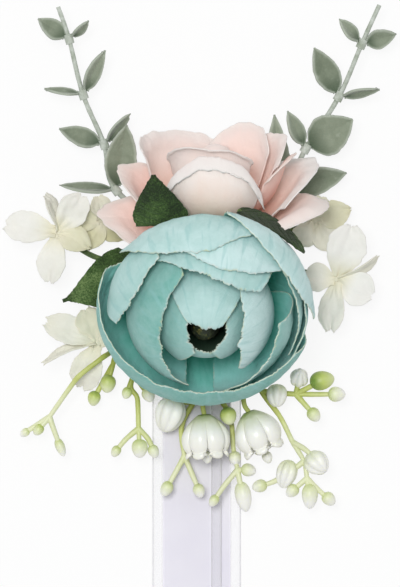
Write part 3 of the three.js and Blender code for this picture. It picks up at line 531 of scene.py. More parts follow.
def coated(mesh, material, selection=True):
    sockets = {"Geometry": mesh, "Selection": selection, "Material": material}
    return output(mesh.tree, "GeometryNodeSetMaterial", sockets)


def smoothed(mesh):
    return output(mesh.tree, "GeometryNodeSetShadeSmooth", {"Geometry": mesh})


def welded(mesh):
    return output(mesh.tree, "GeometryNodeMergeByDistance", {"Geometry": mesh, "Distance": WELD})


def stood(mesh, turn, spot):
    """Turns a finished shape and brings it to its place on the corsage."""
    sockets = {"Geometry": mesh, "Rotation": turn, "Translation": spot}
    return output(mesh.tree, "GeometryNodeTransform", sockets)


def grow(name, tree, host=None, **sizes):
    """Runs a tree with its sizes and returns the result as a plain mesh object."""
    piece = show(name, host or bpy.data.meshes.new(name))
    modifier = piece.modifiers.new("shape", "NODES")
    modifier.node_group = tree
    for item in tree.interface.items_tree:
        if item.in_out == "INPUT" and item.name in sizes:
            size = sizes[item.name]
            modifier[item.identifier] = float(size) if item.socket_type == "NodeSocketFloat" else size
    shaped = piece.evaluated_get(bpy.context.evaluated_depsgraph_get())
    mesh = bpy.data.meshes.new_from_object(shaped)
    piece.modifiers.clear()
    piece.data = mesh
    mesh.name = name
    return piece


# The last step of every cloth tree gives the sheet its thickness, with a finish for face, back and rim.
thicken, given = shape_tree("cloth thickness", Cloth="", Thickness=0.0003, Face=None, Back=None, Rim=None)
lowered = pushed(given.Cloth, given.Thickness * -0.5)
sockets = {"Mesh": lowered, "Offset Scale": given.Thickness, "Individual": False}
raised = place(thicken, "GeometryNodeExtrudeMesh", sockets, mode="FACES").outputs
faced = coated(Field(thicken, raised["Mesh"]), given.Face, raised["Top"])
rimmed = coated(faced, given.Rim, raised["Side"])
backed = coated(output(thicken, "GeometryNodeFlipFaces", {"Mesh": lowered}), given.Back)
joined = place(thicken, "GeometryNodeJoinGeometry", {0: backed})
feed(thicken, joined.inputs[0], rimmed)
end_tree(smoothed(welded(Field(thicken, joined.outputs[0]))))


def thickened(cloth, thickness, face, back, rim):
    sockets = {"Cloth": cloth, "Thickness": thickness, "Face": face, "Back": back, "Rim": rim}
    return output(cloth.tree, "GeometryNodeGroup", sockets, node_tree=thicken)


def shader_group(name, outputs, **inputs):
    """An empty shader group with named sockets: its tree, its inputs and its outputs."""
    group = bpy.data.node_groups.new(name, "ShaderNodeTree")
    for label, value in inputs.items():
        kind = "NodeSocketColor" if isinstance(value, tuple) else "NodeSocketFloat"
        group.interface.new_socket(label, in_out="INPUT", socket_type=kind).default_value = value
    for label, kind in outputs.items():
        group.interface.new_socket(label, in_out="OUTPUT", socket_type=kind)
    return group, inputs_of(group, inputs), place(group, "NodeGroupOutput").inputs


def on_mesh(tree, name):
    """A value that the geometry tree stored on the piece, read by its finish."""
    return Field(tree, place(tree, "ShaderNodeAttribute", attribute_name=name).outputs["Fac"])


# Dye that has run into cloth in clouds, from a pale to a deep tone.
cloth_dye, given, wanted = shader_group(
    "cloth dye", {"Color": "NodeSocketColor"}, Pale=(1.0, 1.0, 1.0, 1.0), Deep=(0.0, 0.0, 0.0, 1.0),
    Amount=0.5, Clouds=0.6, Scale=160.0)
clouds = speckle(cloth_dye, given.Scale, detail=3.0, roughness=0.55, distortion=0.8)
flecks = speckle(cloth_dye, given.Scale * 7.0, detail=2.0)
share = given.Amount + (clouds * 0.75 + flecks * 0.25 - 0.5) * given.Clouds
share = share.work("MAXIMUM", 0.0).work("MINIMUM", 1.0)
feed(cloth_dye, wanted["Color"], mixed(share, given.Pale, given.Deep))

# Threads of plain-woven cloth, with the creases that pressing leaves.
cloth_weave, given, wanted = shader_group(
    "cloth weave", {"Height": "NodeSocketFloat"}, Pitch=0.0003, Crease=0.5)
threads = [abs((spot * math.pi / given.Pitch).work("SINE")) for spot in on_cloth(cloth_weave)]
creases = speckle(cloth_weave, 420.0, detail=3.0, distortion=1.2)
feed(cloth_weave, wanted["Height"], (threads[0] + threads[1]) * 0.12 + creases * given.Crease)

# Dye that has run down the threads in streaks, from the rim to the root.
dye_runs, given, wanted = shader_group("dye runs", {"Value": "NodeSocketFloat"}, Width=0.0016, Length=0.012)
across, along = on_cloth(dye_runs)
sockets = {"Vector": combined(across / given.Width, along / given.Length, 0.0), "Scale": 1.0, "Detail": 3.0,
           "Distortion": 0.6}
feed(dye_runs, wanted["Value"], output(dye_runs, "ShaderNodeTexNoise", sockets))

# The frayed edge of torn cloth: loose white threads with some of the yellow-green dye.
torn_edge, given, wanted = shader_group(
    "torn edge", {"Mask": "NodeSocketFloat", "Color": "NodeSocketColor"}, Width=0.0009, Amount=0.5)
loose = speckle(torn_edge, 700.0, detail=2.0).smooth(0.38, 0.66)
reach = on_mesh(torn_edge, "edge") / given.Width
feed(torn_edge, wanted["Mask"], (1.0 - reach.smooth(0.0, 1.0)) * loose * given.Amount)
fray_hue = speckle(torn_edge, 240.0, detail=1.0).smooth(0.45, 0.65)
feed(torn_edge, wanted["Color"], mixed(fray_hue, paint(236, 243, 236), paint(204, 214, 164)))


def grouped(tree, group, **inputs):
    """The outputs of a shader group that is put in a finish."""
    return place(tree, "ShaderNodeGroup", inputs, node_tree=group).outputs


def dyed(tree, pale, deep, amount, clouds, scale):
    return grouped(tree, cloth_dye, Pale=pale, Deep=deep, Amount=amount, Clouds=clouds, Scale=scale)[0]


def woven(tree, pitch=0.4 * MM, crease=0.5, depth=0.2 * MM):
    texture(tree, grouped(tree, cloth_weave, Pitch=pitch, Crease=crease)[0], depth)


def streaks(tree, width, length):
    return Field(tree, grouped(tree, dye_runs, Width=width * MM, Length=length * MM)[0])


def frayed(tree, colour, width, amount):
    fray = grouped(tree, torn_edge, Width=width * MM, Amount=amount)
    return mixed(Field(tree, fray["Mask"]), colour, fray["Color"])


aqua_face, tree = finish("aqua silk face", Roughness=0.82, Sheen_Weight=0.15)
cloth = dyed(tree, paint(206, 234, 233), paint(100, 172, 160), on_mesh(tree, "tone"), 0.8, 120.0)
cloth = mixed(streaks(tree, 1.8, 14).smooth(0.5, 0.72) * 0.5, cloth, paint(146, 198, 196))
cloth = mixed((1.0 - on_mesh(tree, "up").smooth(0.25, 0.75)) * 0.85, cloth, paint(96, 176, 162))
vary(tree, "Base Color", frayed(tree, cloth, 0.9, 0.75))
woven(tree, crease=0.6, depth=0.22 * MM)

aqua_back, tree = finish("aqua silk inside", Roughness=0.8, Sheen_Weight=0.1)
# Partly painted shade: the inside runs from deep teal at the root, where the cup is deep, to pale aqua at the
# rim, over the teal of the dye.
depth = on_mesh(tree, "up") + (speckle(tree, 140, detail=3.0) - 0.5) * 0.2
depth = depth + (streaks(tree, 2.5, 16) - 0.5) * 0.2
inside = ramp(depth, (0.3, 88, 198, 177), (0.6, 158, 228, 221), (0.85, 176, 230, 225), (1.0, 186, 228, 223))
# Painted shade: the insides of the heart petals are painted dark away from their torn edges, for the shade
# deep in the flower's middle.
heart_painted_shade = on_mesh(tree, "heart") * on_mesh(tree, "edge").smooth(0.2 * MM, 1.6 * MM)
inside = mixed(heart_painted_shade, inside, paint(48, 80, 58))
vary(tree, "Base Color", frayed(tree, inside, 0.8, 0.6))
woven(tree)

aqua_rim, tree = finish("aqua silk torn rim", Roughness=0.9)
vary(tree, "Base Color", dyed(tree, paint(214, 230, 222), paint(196, 206, 156), 0.3, 0.9, 300.0))
woven(tree, pitch=0.3 * MM)

petal_tree, given = shape_tree(
    "cupped petal", Azimuth=0.0, Spread=45.0, Radius=0.0288, Half_Height=0.0175, Middle=0.0, Root=170.0,
    Rim=50.0, Droop=20.0, Slant=0.0, Curl=0.4, Crumple=1.0, Fray=1.0, Tone=0.2, Heart=0.0, Seed=0.0,
    Columns=110, Rows=44)
mesh, across, up = cloth_grid(petal_tree, given.Columns, given.Rows)
girth = given.Spread * DEGREE * given.Radius / MM
length = (given.Root - given.Rim) * DEGREE * given.Radius / MM
teeth = ripple(across * girth / TOOTH_PITCH, 0.0, given.Seed, 3.0) * TOOTH_DEPTH
waves = ripple(across * girth / RIM_WAVE_PITCH, 7.0, given.Seed) * RIM_WAVE_DEPTH
fray = (teeth + waves) * given.Fray * MM / given.Radius / DEGREE
brink = given.Rim + given.Droop * abs(across) ** 2.2 + given.Slant * across + fray
polar = (given.Root + (brink - given.Root) * up) * DEGREE
spread = 0.5 + 0.5 * up.smooth(0.0, 0.55)
side_teeth = ripple(up * length / SIDE_TOOTH_PITCH, across * 2.0, given.Seed + 3.0, 2.0)
side_fray = side_teeth * SIDE_TOOTH_DEPTH * given.Fray
azimuth = (given.Azimuth + given.Spread * across * spread * (1.0 + side_fray)) * DEGREE
out = given.Radius * polar.work("SINE")
shell = combined(out * azimuth.work("SINE"), out * azimuth.work("COSINE"),
                 given.Middle + given.Half_Height * polar.work("COSINE"))
from_rim = (1.0 - up) * length
from_side = (1.0 - abs(across)) * girth * spread
edge = from_rim.work("MINIMUM", from_side) * MM
weave = combined(across * girth * MM, up * length * MM, 0.0)
mesh = keep(mesh, edge=edge, tone=given.Tone, heart=given.Heart, weave=weave)
mesh = put(mesh, shell)
crumple = ripple(across * girth / 7.0, up * length / 9.0, given.Seed) * CRUMPLE_DEPTH
crumple = crumple + ripple(across * girth / 2.2, up * length / 4.0, given.Seed + 5.0) * CREASE_DEPTH
flare = given.Curl * up.smooth(0.74, 1.0)
mesh = pushed(mesh, (crumple * given.Crumple * up.smooth(0.2, 0.6) + flare) * MM)
mesh = thickened(mesh, SILK_THICKNESS, aqua_face, aqua_back, aqua_rim)
end_tree(stood(mesh, (RANUNCULUS_TILT, 0.0, 0.0), RANUNCULUS_CENTRE))


def shell_sizes(inset):
    """Radius, half height and middle of the shell that lies an inset inside the outermost, in millimetres."""
    sink = HEART_SINK * max(0, inset - HEART_INSET)
    half_height = RANUNCULUS_HALF_HEIGHT - SHELL_FLATTENING * inset - sink
    return RANUNCULUS_RADIUS - inset, half_height, MIDDLE_RISE * (1 - math.exp(-inset / MIDDLE_FADE))


# Azimuth clockwise from the rose, half spread, shell counted inwards, rim, droop and slant, in degrees; then
# the tone of the dye and how far the rim curls out.
aqua_petals = [
    (53, 41, 0, 65.5, 25, -5.5, 0.10, 0.5),
    (-15, 41, 1, 60, 33, -10, 0.20, 0.4),
    (-160, 90, 0, 39.5, 37, 14.5, 0.80, 0.3),
    (115, 36, 1.4, 73, -4, -9, 0.60, 0.2),
    (-59, 29, 2.5, 55.5, 10, 2, 0.40, 0.3),
    (18.5, 33, 2, 50, 18, 2.5, 0.06, 0.3),
    (86, 32, 2.6, 73, 4.5, 0, 0.45, 0.1),
    (8, 41.5, 4.7, 48, 15.5, -10, 0.30, 0.3),
    (129, 45.5, 4.8, 53, 5.5, 3.5, 0.65, 0.2),
    (-92, 74, 7.1, 34, 24, 0, 0.75, 0.3),
    (85, 54.5, 9.5, 30, 24.5, -7, 0.06, 0.3),
    (2, 41.5, 12.1, 15, 13, -2.5, 0.25, 0.2),
    (-80, 64.5, 13.4, 17.5, 11.5, 11.5, 0.65, 0.2),
    (93.5, 61, 14.7, 21, 12.5, -13.5, 0.45, 0.1),
    (178, 96.5, 15.9, 23.5, 7, -2.5, 0.60, 0.1),
]
for number, (azimuth, spread, layer, rim, droop, slant, tone, curl) in enumerate(aqua_petals, start=1):
    inset = LAYER_GAP * layer
    radius, half_height, middle = shell_sizes(inset)
    petal = grow(
        f"aqua_petal_{number:02d}", petal_tree, Azimuth=azimuth, Spread=spread, Radius=radius * MM,
        Half_Height=half_height * MM, Middle=middle * MM,
        Root=180 - math.degrees(math.asin((CORE_RADIUS + CORE_CLEARANCE) / radius)), Rim=rim, Droop=droop,
        Slant=slant, Curl=curl, Crumple=HEART_CRUMPLE if layer > HEART_LAYER else 1.0, Tone=tone,
        Heart=inset > HEART_INSET, Seed=number * 11.3,
        Columns=max(FEWEST_COLUMNS, round(2 * math.radians(spread) * radius / TOOTH_STEP)))
    gather([petal], f"ranunculus_petal_{number:02d}")

# Ranunculus heart and calyx
# The heart is a dark moulded button with short olive stamens, which show here only as lumps and olive flecks
# on it.
# A green cup holds the petals from below, and its stout stem is set in the glue.
DISH_REACH = 0.37
DISH_STEP = 0.05
DISH_OUTER = (29.9, 19.0)
DISH_INNER = (29.2, 18.1)
STEM_TOP = -18.6
STEM_FOOT = 5
STEM_SIDES = 16
STEM_RADIUS = 1.6
STEM_NECK = 1.9
STEM_STEP = 0.9 * MM
KNOT_PITCH = 2 * MM
KNOT_DEPTH = 0.3
HEART_LUMP = 0.5 * MM
HEART_LUMP_PITCH = 1.2 * MM

ranunculus_place = Matrix.Translation(RANUNCULUS_CENTRE) @ Matrix.Rotation(RANUNCULUS_TILT, 4, "X")
heart_finish = grained(
    "dark heart", {"scale": 900, "detail": 3.0}, 0.6 * MM,
    (0.35, 16, 26, 14), (0.58, 44, 56, 26), (0.72, 128, 118, 52), Roughness=0.7)
heart_profile = [(0, -17.6), (3.2, -17.6), (4.4, -14), (4.4, 6.2), (3.7, 9), (2.9, 11.2), (1.4, 12.2),
                 (0, 12.5)]
heart = turned("dark_heart", heart_profile, heart_finish, where=ranunculus_place)
roughen(heart, HEART_LUMP, HEART_LUMP_PITCH)
gather([heart], "ranunculus_core")


def path_mesh(name, runs):
    """The middle lines of stems, each through its own points, for a tree to follow."""
    points = []
    edges = []
    for run in runs:
        edges += [(len(points) + k, len(points) + k + 1) for k in range(len(run) - 1)]
        points += run
    mesh = bpy.data.meshes.new(name)
    mesh.from_pydata(points, edges, [])
    return mesh


stem_tree, given = shape_tree(
    "stem along a path", Path="", Radius=0.00075, Tip_Radius=0.0006, Sides=12, Finish=None)
curve = output(stem_tree, "GeometryNodeMeshToCurve", {"Mesh": given.Path})
curve = output(stem_tree, "GeometryNodeCurveSplineType", {"Curve": curve}, spline_type="CATMULL_ROM")
curve = output(stem_tree, "GeometryNodeSetSplineResolution", {"Geometry": curve, "Resolution": 8})
curve = keep(curve, up=output(stem_tree, "GeometryNodeSplineParameter"))
curve = output(stem_tree, "GeometryNodeResampleCurve", {"Curve": curve, "Length": STEM_STEP}, mode="LENGTH")
ring = output(stem_tree, "GeometryNodeCurvePrimitiveCircle", {"Resolution": given.Sides, "Radius": 1.0})
x, y, _ = parted(stem_tree, output(stem_tree, "GeometryNodeInputPosition"))
knots = ripple(x / KNOT_PITCH, y / KNOT_PITCH, 1.0)
taper = given.Radius + (given.Tip_Radius - given.Radius) * kept(stem_tree, "up")
taper = taper * (1.0 + knots * KNOT_DEPTH)
sockets = {"Curve": curve, "Profile Curve": ring, "Scale": taper, "Fill Caps": True}
tube = smoothed(output(stem_tree, "GeometryNodeCurveToMesh", sockets))
end_tree(coated(tube, given.Finish))


def stems(name, runs, radius, tip_radius, material, sides=12):
    return grow(name, stem_tree, path_mesh(name, runs), Radius=radius * MM, Tip_Radius=tip_radius * MM,
                Sides=sides, Finish=material)


calyx_finish = grained(
    "moulded green", {"scale": 500}, 0.2 * MM, (0.3, 92, 112, 58), (0.7, 142, 158, 88), Roughness=0.55)
dish_profile = []
for (wide, tall), turns in ((DISH_OUTER, (0.0, DISH_REACH)), (DISH_INNER, (DISH_REACH, 0.0))):
    dish_profile += [(wide * math.sin(a), -tall * math.cos(a)) for a in stepped(*turns, DISH_STEP)]
calyx = turned("ranunculus_cup", dish_profile, calyx_finish, segments=60, where=ranunculus_place)
stem_top = ranunculus_place @ at(0, 0, STEM_TOP)
stem_length = (stem_top.z / MM - STEM_FOOT) / math.cos(RANUNCULUS_TILT)
stem_foot = ranunculus_place @ at(0, 0, STEM_TOP - stem_length)
stem_run = [stem_foot, stem_foot.lerp(stem_top, 0.5), stem_top]
stalk = stems("ranunculus_stem", [stem_run], STEM_RADIUS, STEM_NECK, calyx_finish, STEM_SIDES)
gather([calyx, stalk], "ranunculus_calyx")

# Rose petals
# Ten petals of blush silk, wired at the foot, curled outwards at the rim with a hot iron and shaded by hand
# from coral at the root to cream. The rose lies on its side behind the ranunculus, pressed flat underneath.
ROSE_CENTRE = at(2.7, 12.67, 17)
ROSE_TILT = math.radians(-76)
ROSE_PRESS = 0.6
ROSE_HUB = 3.0 * MM
ROOT_SHARE = 0.62
ROLL_OUT = 1.6 * MM
ROLL_DOWN = 1.5 * MM
DECKLE_PITCH = 5.0
DECKLE_DEPTH = 0.16
ROSE_CRUMPLE = 0.8

blush_face, tree = finish("blush silk", Roughness=0.8, Sheen_Weight=0.15)
height = on_mesh(tree, "up") + (speckle(tree, 110, detail=3.0) - 0.5) * 0.22
height = height + (streaks(tree, 3, 18) - 0.5) * 0.15
warm = ramp(height, (0.2, 240, 168, 144), (0.5, 252, 200, 186), (0.8, 255, 218, 207), (1.0, 244, 228, 220))
# Painted shade: the cool tone dips to grey just under the rim, where the rolled rim turns away from the
# light.
cool_with_painted_rim_shade = ramp(height, (0.1, 242, 192, 168), (0.35, 251, 226, 212), (0.65, 252, 243, 237), (0.88, 238, 232, 229),
            (1.0, 245, 241, 238))
vary(tree, "Base Color", mixed(on_mesh(tree, "tone"), cool_with_painted_rim_shade, warm))
woven(tree)


def bezier(first, second, third, last, share):
    rest = 1.0 - share
    return rest * rest * rest * first + rest * rest * share * 3.0 * second + (
        rest * share * share * 3.0 * third) + share * share * share * last


rose_tree, given = shape_tree(
    "rolled petal", Azimuth=0.0, Spread=45.0, Bulge=0.015, Rim=0.018, Height=0.02, Base=0.0, Trim=0.2,
    Point=2.4, Twist=0.0, Roll=0.5, Hem=0.0, Tone=0.3, Seed=0.0, Columns=96, Rows=60)
mesh, across, up = cloth_grid(rose_tree, given.Columns, given.Rows)
girth = given.Spread * DEGREE * given.Bulge / MM
length = (given.Rim + given.Height) / MM
deckle = ripple(across * girth / DECKLE_PITCH, 2.0, given.Seed, 2.0) * DECKLE_DEPTH
run = up * (1.0 - given.Trim * abs(across) ** given.Point + deckle * up)
reach = bezier(ROSE_HUB, given.Bulge * 1.25, given.Bulge * 1.05, given.Rim, run)
climb = given.Height - given.Base
level = bezier(given.Base, given.Base + climb * 0.05, given.Base + climb * 0.75, given.Height, run)
level = level + given.Twist * across * up.smooth(0.0, 0.6)
curl = up.smooth(0.78, 1.0)
reach = reach + curl * given.Roll * ROLL_OUT
level = level - curl * curl * (given.Roll * ROLL_DOWN + given.Hem)
spread = ROOT_SHARE + (1 - ROOT_SHARE) * up.smooth(0.0, 0.5)
turn = (given.Azimuth + given.Spread * across * spread) * DEGREE
inwards = reach * turn.work("COSINE")
pressed = inwards.work("MINIMUM", 0.0) + inwards.work("MAXIMUM", 0.0) * ROSE_PRESS
mesh = keep(mesh, tone=given.Tone, weave=combined(across * girth * MM, up * length * MM, 0.0))
mesh = put(mesh, combined(reach * turn.work("SINE"), pressed, level))
crumple = ripple(across * girth / 6.0, up * length / 9.0, given.Seed + 2.0) * ROSE_CRUMPLE
mesh = pushed(mesh, crumple * up.smooth(0.3, 0.8) * MM)
mesh = thickened(mesh, SILK_THICKNESS, blush_face, blush_face, blush_face)
end_tree(stood(mesh, (ROSE_TILT, 0.0, 0.0), ROSE_CENTRE))

# Azimuth with 180 towards the viewer, half spread, bulge, rim, height, base, how far the rim's corners are
# trimmed and how square they stay, twist, roll, the hem that is folded over and tone.
blush_petals = [
    (106, 32, 18, 31, 9, 0, 0.3, 2, -2, 0.8, 1.5, 0.45),
    (-84, 33, 19, 31, 3, 0, 0.3, 1.6, 5, 0.4, 0, 0.6),
    (80, 43, 18, 27, 17.3, 0.9, 0.38, 2.4, -2.3, 0.8, 0, 0.05),
    (-84, 40, 18, 26, 15, 0.8, 0.3, 1.6, 4, 0.4, 0, 0.6),
    (182, 45, 17.2, 17.5, 26.2, 1.4, 0.42, 2, 0, 0.9, 6, 0.1),
    (-51, 55, 16.6, 20, 24.5, 2.8, 0.16, 2.4, 0, 0.6, 0, 0.3),
    (66, 43, 14.6, 18.5, 25, 2.8, 0.28, 2.6, 0, 0.8, 0, 0.4),
    (95, 38, 16, 20.5, 20.5, 2.1, 0.3, 2.6, 1, 0.8, 0, 1.0),
    (38, 46, 12.4, 15, 27, 3.8, 0.3, 1.6, 0, 0.4, 0, 0.4),
    (-165, 66, 10.8, 13, 25.4, 4.8, 0.25, 2.4, 0, 0.6, 1, 0.2),
]
for number, row in enumerate(blush_petals, start=1):
    azimuth, spread, bulge, rim, height, base, trim, point, twist, roll, hem, tone = row
    petal = grow(
        f"blush_petal_{number:02d}", rose_tree, Azimuth=azimuth, Spread=spread, Bulge=bulge * MM,
        Rim=rim * MM, Height=height * MM, Base=base * MM, Trim=trim, Point=point, Twist=twist * MM,
        Roll=roll, Hem=hem * MM, Tone=tone, Seed=number * 7.7)
    gather([petal], f"rose_petal_{number:02d}")

# Rose bud and calyx
# The middle of the rose is a tight bud of the same silk. Its calyx is a small green cup on a wired stem that
# bends down into the glue.
BUD_TWIST = 4 * MM
BUD_FOLDS = 3
BUD_FOLD_DEPTH = 0.09
BUD_TONE = 0.35
ROSE_STEM_RADIUS = 1.3
ROSE_STEM_TOP = -3.6
ROSE_STEM_SWING = 2.8 * MM

rose_place = Matrix.Translation(ROSE_CENTRE) @ Matrix.Rotation(ROSE_TILT, 4, "X")
bud_profile = [(0, -0.2), (2.4, 0), (4.2, 5), (6, 12), (5.6, 17), (3.4, 20.8), (1.2, 21.8), (0, 22)]
rose_bud = turned("blush_bud", bud_profile, blush_face)
for vertex in rose_bud.data.vertices:
    x, y, z = vertex.co
    fold = 1 + BUD_FOLD_DEPTH * math.sin(BUD_FOLDS * (math.atan2(x, y) + z / BUD_TWIST))
    vertex.co = rose_place @ Vector((x * fold, y * fold * (ROSE_PRESS if y > 0 else 1), z))
last_point = len(rose_bud.data.vertices) - 1
bud_heights = [0.5 + 0.4 * share for share in stepped(0.0, 1.0, 1 / last_point)]
mark(rose_bud.data, "up", bud_heights)
mark(rose_bud.data, "tone", [BUD_TONE] * len(bud_heights))
gather([rose_bud], "rose_core")

cup_profile = [(0, -4.4), (1.6, -4.3), (3.4, -3.4), (4.6, -1.0), (4.3, -0.7), (0, -0.7)]
rose_cup = turned("rose_cup", cup_profile, calyx_finish, where=rose_place)
stem_start = rose_place @ at(0, 0, ROSE_STEM_TOP)
stem_run = [stem_start, stem_start + at(0.6, -2.2, -2.6)]
for shift, level in ((1.6, 9.5), (1.8, STEM_FOOT)):
    stem_run.append(Vector((stem_start.x + shift * MM, stem_start.y - ROSE_STEM_SWING, level * MM)))
stalk = stems("rose_stem", [stem_run], ROSE_STEM_RADIUS, ROSE_STEM_RADIUS, calyx_finish, STEM_SIDES)
gather([rose_cup, stalk], "rose_calyx")

# Rose leaves
# Dark green flocked cloth pressed with veins, on green wire stalks that are set in the glue. One stands at
# the rose's upper left, one points left, and one lies against the back of the ranunculus.
UP = Vector((0, 0, 1))
MOUND_Y = 3
SOCKET_RADIUS = 8.5
STALK_SOCKET = 7.2
WIRE_RADIUS = 0.75
WIRE_TIP = 0.6
HUGGING_GAP = 2.3
ROOT_GAP = 1.4
RAGGED_PITCH = 2 * MM
BUMP_PITCH = 6 * MM
VEIN_SLANT = 0.22


def socket_in_glue(bearing, height):
    """Where a stem goes into the glue, by its bearing clockwise from the rose."""
    turn = math.radians(bearing)
    return at(SOCKET_RADIUS * math.sin(turn), MOUND_Y + SOCKET_RADIUS * math.cos(turn), height)


def summed(first, *others):
    for other in others:
        first = output(first.tree, "ShaderNodeVectorMath", {0: first, 1: other}, operation="ADD")
    return first


leaf_tree, given = shape_tree(
    "blade from base to tip", Base=(0.0, 0.0, 0.0), Along=(0.0, 0.01, 0.0), Side=(1.0, 0.0, 0.0),
    Normal=(0.0, 0.0, 1.0), Length=0.01, Width=0.005, Arch=0.08, Fold=0.2, Peak=0.75, Blunt=0.8, Foot=0.0005,
    End=0.0005, Ragged=0.2, Notch=0.0, Tatter=0.0, Veins=0.0, Vein_Depth=0.0, Wave=0.3, Tone=0.0, Seed=0.0,
    Thickness=0.0004, Columns=33, Rows=45, Finish=None)
mesh, across, up = cloth_grid(leaf_tree, given.Columns, given.Rows, facing=1.0)
belly = (up ** given.Peak * math.pi).work("SINE").work("MAXIMUM", 0.0) ** given.Blunt
least = given.Foot + (given.End - given.Foot) * up
half = (given.Width * 0.5 * belly).work("MAXIMUM", least)
uneven = ripple(up * given.Length / RAGGED_PITCH, across.smooth(-0.1, 0.1) * 9.0, given.Seed, 2.0)
half = half * (1.0 + uneven * given.Ragged)
dent = (1.0 - abs(across)) ** 2.0 * given.Notch * up.smooth(0.55, 1.0)
tatter = ripple(across * 3.0, 3.0, given.Seed + 8.0, 2.0) * given.Tatter * up.smooth(0.7, 1.0)
run = up * (1.0 - dent + tatter)
crease = (across * across + 0.01) ** 0.5
rise = given.Arch * given.Length * 4.0 * up * (1.0 - up) + given.Fold * half * crease
rib = abs((up * given.Veins - crease * given.Veins * VEIN_SLANT).work("FRACT") - 0.5) * 2.0
rise = rise - (1.0 - rib.smooth(0.0, 0.45)) * given.Vein_Depth
bumps = ripple(across * 1.3, up * given.Length / BUMP_PITCH, given.Seed + 4.0)
rise = rise + bumps * given.Wave * 2.0 * MM
mesh = keep(mesh, tone=given.Tone, edge=(1.0 - abs(across)) * half,
            weave=combined(across * half, up * given.Length, 0.0))
surface = summed(given.Base, scaled(given.Along, run),
                 scaled(given.Side, half * across), scaled(given.Normal, rise))
mesh = put(mesh, surface)
thinned = given.Thickness * (1.0 - 0.75 * up.smooth(0.85, 1.0))
end_tree(thickened(mesh, thinned, given.Finish, given.Finish, given.Finish))


def blade(name, base, tip, width, material, turn=0.0, **shape):
    """A leaf or a petal from its base to its tip; turn rolls it about its length."""
    along = tip - base
    heading = along.normalized()
    side = heading.cross(UP).normalized()
    side.rotate(Quaternion(heading, math.radians(turn)))
    return grow(name, leaf_tree, Base=base, Along=along, Side=side, Normal=side.cross(heading),
                Length=along.length, Width=width * MM, Finish=material, **shape)


velvet, tree = finish("velvet leaf", Roughness=0.95, Sheen_Weight=0.08, Sheen_Roughness=0.4)
flock = speckle(tree, 2200, detail=3.0, roughness=0.7)
# Painted shade: a high tone darkens the flock, on the leaves that lie in shade.
pile_and_painted_shade = flock * 0.6 + speckle(tree, 130, detail=2.0) * 0.5 - 0.05 - on_mesh(tree, "tone") * 0.15
vary(tree, "Base Color", ramp(pile_and_painted_shade, (0.34, 28, 46, 18), (0.5, 66, 94, 44), (0.68, 124, 148, 92)))
texture(tree, flock, 0.4 * MM)
wire_finish = grained("wrapped wire", {"scale": 900, "detail": 2.0}, 0.2 * MM, (0.35, 70, 92, 50),
                      (0.65, 110, 132, 76), Roughness=0.7)


def stalk_run(bearing, base):
    """The points of a leaf's stalk, which leaves the glue at a low angle and climbs to the leaf's base."""
    foot = socket_in_glue(bearing, STALK_SOCKET)
    return [foot, Vector(((base.x + 2 * foot.x) / 3, (base.y + 2 * foot.y) / 3, (base.z + foot.z) / 2)), base]


def rose_leaf(name, run, tip, width, **shape):
    """A flocked leaf on its wire stalk, which runs through its points to the leaf's base."""
    leaf = blade(f"velvet_leaf_{name}", run[-1], tip, width, velvet, Thickness=0.0005, Rows=81, **shape)
    stalk = stems(f"stalk_{name}", [run], WIRE_RADIUS, WIRE_TIP, wire_finish)
    gather([leaf, stalk], f"rose_leaf_{name}")


def round_the_cup(azimuth, polar, gap=HUGGING_GAP):
    """A place just outside the ranunculus' first shell, by azimuth and angle from its axis, in degrees."""
    turn, lean = math.radians(azimuth), math.radians(polar)
    radius, half_height, middle = shell_sizes(-gap)
    out = radius * math.sin(lean)
    tall = middle + half_height * math.cos(lean)
    return ranunculus_place @ at(out * math.sin(turn), out * math.cos(turn), tall)


# The upper and right leaves get a high tone: painted shade, the right one where it lies against the
# ranunculus.
rose_leaf("upper", stalk_run(-62, ROSE_CENTRE + at(-14.4, -0.9, 16.3)), ROSE_CENTRE + at(-16.5, 12.5, 21), 15,
          turn=-12.0, Fold=-0.2, Peak=0.4, Foot=0.0072, Veins=7.0, Vein_Depth=0.00022, Tone=0.7, Seed=1.0,
          Columns=61)
rose_leaf("left", stalk_run(-78, at(-13, 1, 12)), at(-38.6, -8.4, 14), 17, Fold=-0.15, Peak=0.7, Blunt=1.25,
          Veins=8.0, Vein_Depth=0.00022, Seed=2.0, Columns=61)
hugging_run = [socket_in_glue(58, STALK_SOCKET), round_the_cup(42, 155), round_the_cup(34, 130),
               round_the_cup(20, 120, ROOT_GAP)]
rose_leaf("right", hugging_run, round_the_cup(62, 104), 9.5, turn=-68.0, Arch=0.092, Fold=0.0, Blunt=0.4,
          Veins=7.0, Vein_Depth=0.0002, Wave=0.1, Tone=1.0, Seed=3.0, Columns=41)

# Eucalyptus sprigs
# Two sprigs of soft moulded plastic with a powdery grey-green bloom. Each leaf pair is moulded with a collar,
# and the pairs are threaded on the stem, which is set in the glue.
COLLAR_RADIUS = 1.25
COLLAR_HALF = 1.3 * MM
LEAF_START = 1.35
STEM_SOCKET = 5

sage, tree = finish("powdery sage leaf", Roughness=0.75, Sheen_Weight=0.3)
powder = speckle(tree, 500, roughness=0.65)
rim_light = 1.0 - on_mesh(tree, "edge").smooth(0.0, 0.9 * MM)
bloom = dyed(tree, paint(154, 164, 144), paint(96, 108, 86), on_mesh(tree, "tone"), 0.9, 260.0)
throat = mixed(on_mesh(tree, "up").smooth(0.0, 0.45), paint(74, 90, 68), bloom)
pale = (rim_light * 0.55 + powder.smooth(0.55, 0.8) * 0.25).work("MINIMUM", 1.0)
vary(tree, "Base Color", mixed(pale, throat, paint(196, 204, 190)))
texture(tree, powder, 0.25 * MM)
sage_stem = grained(
    "powdery sage stem", {"scale": 400}, 0.2 * MM, (0.3, 150, 160, 142), (0.65, 204, 210, 202), Roughness=0.7)

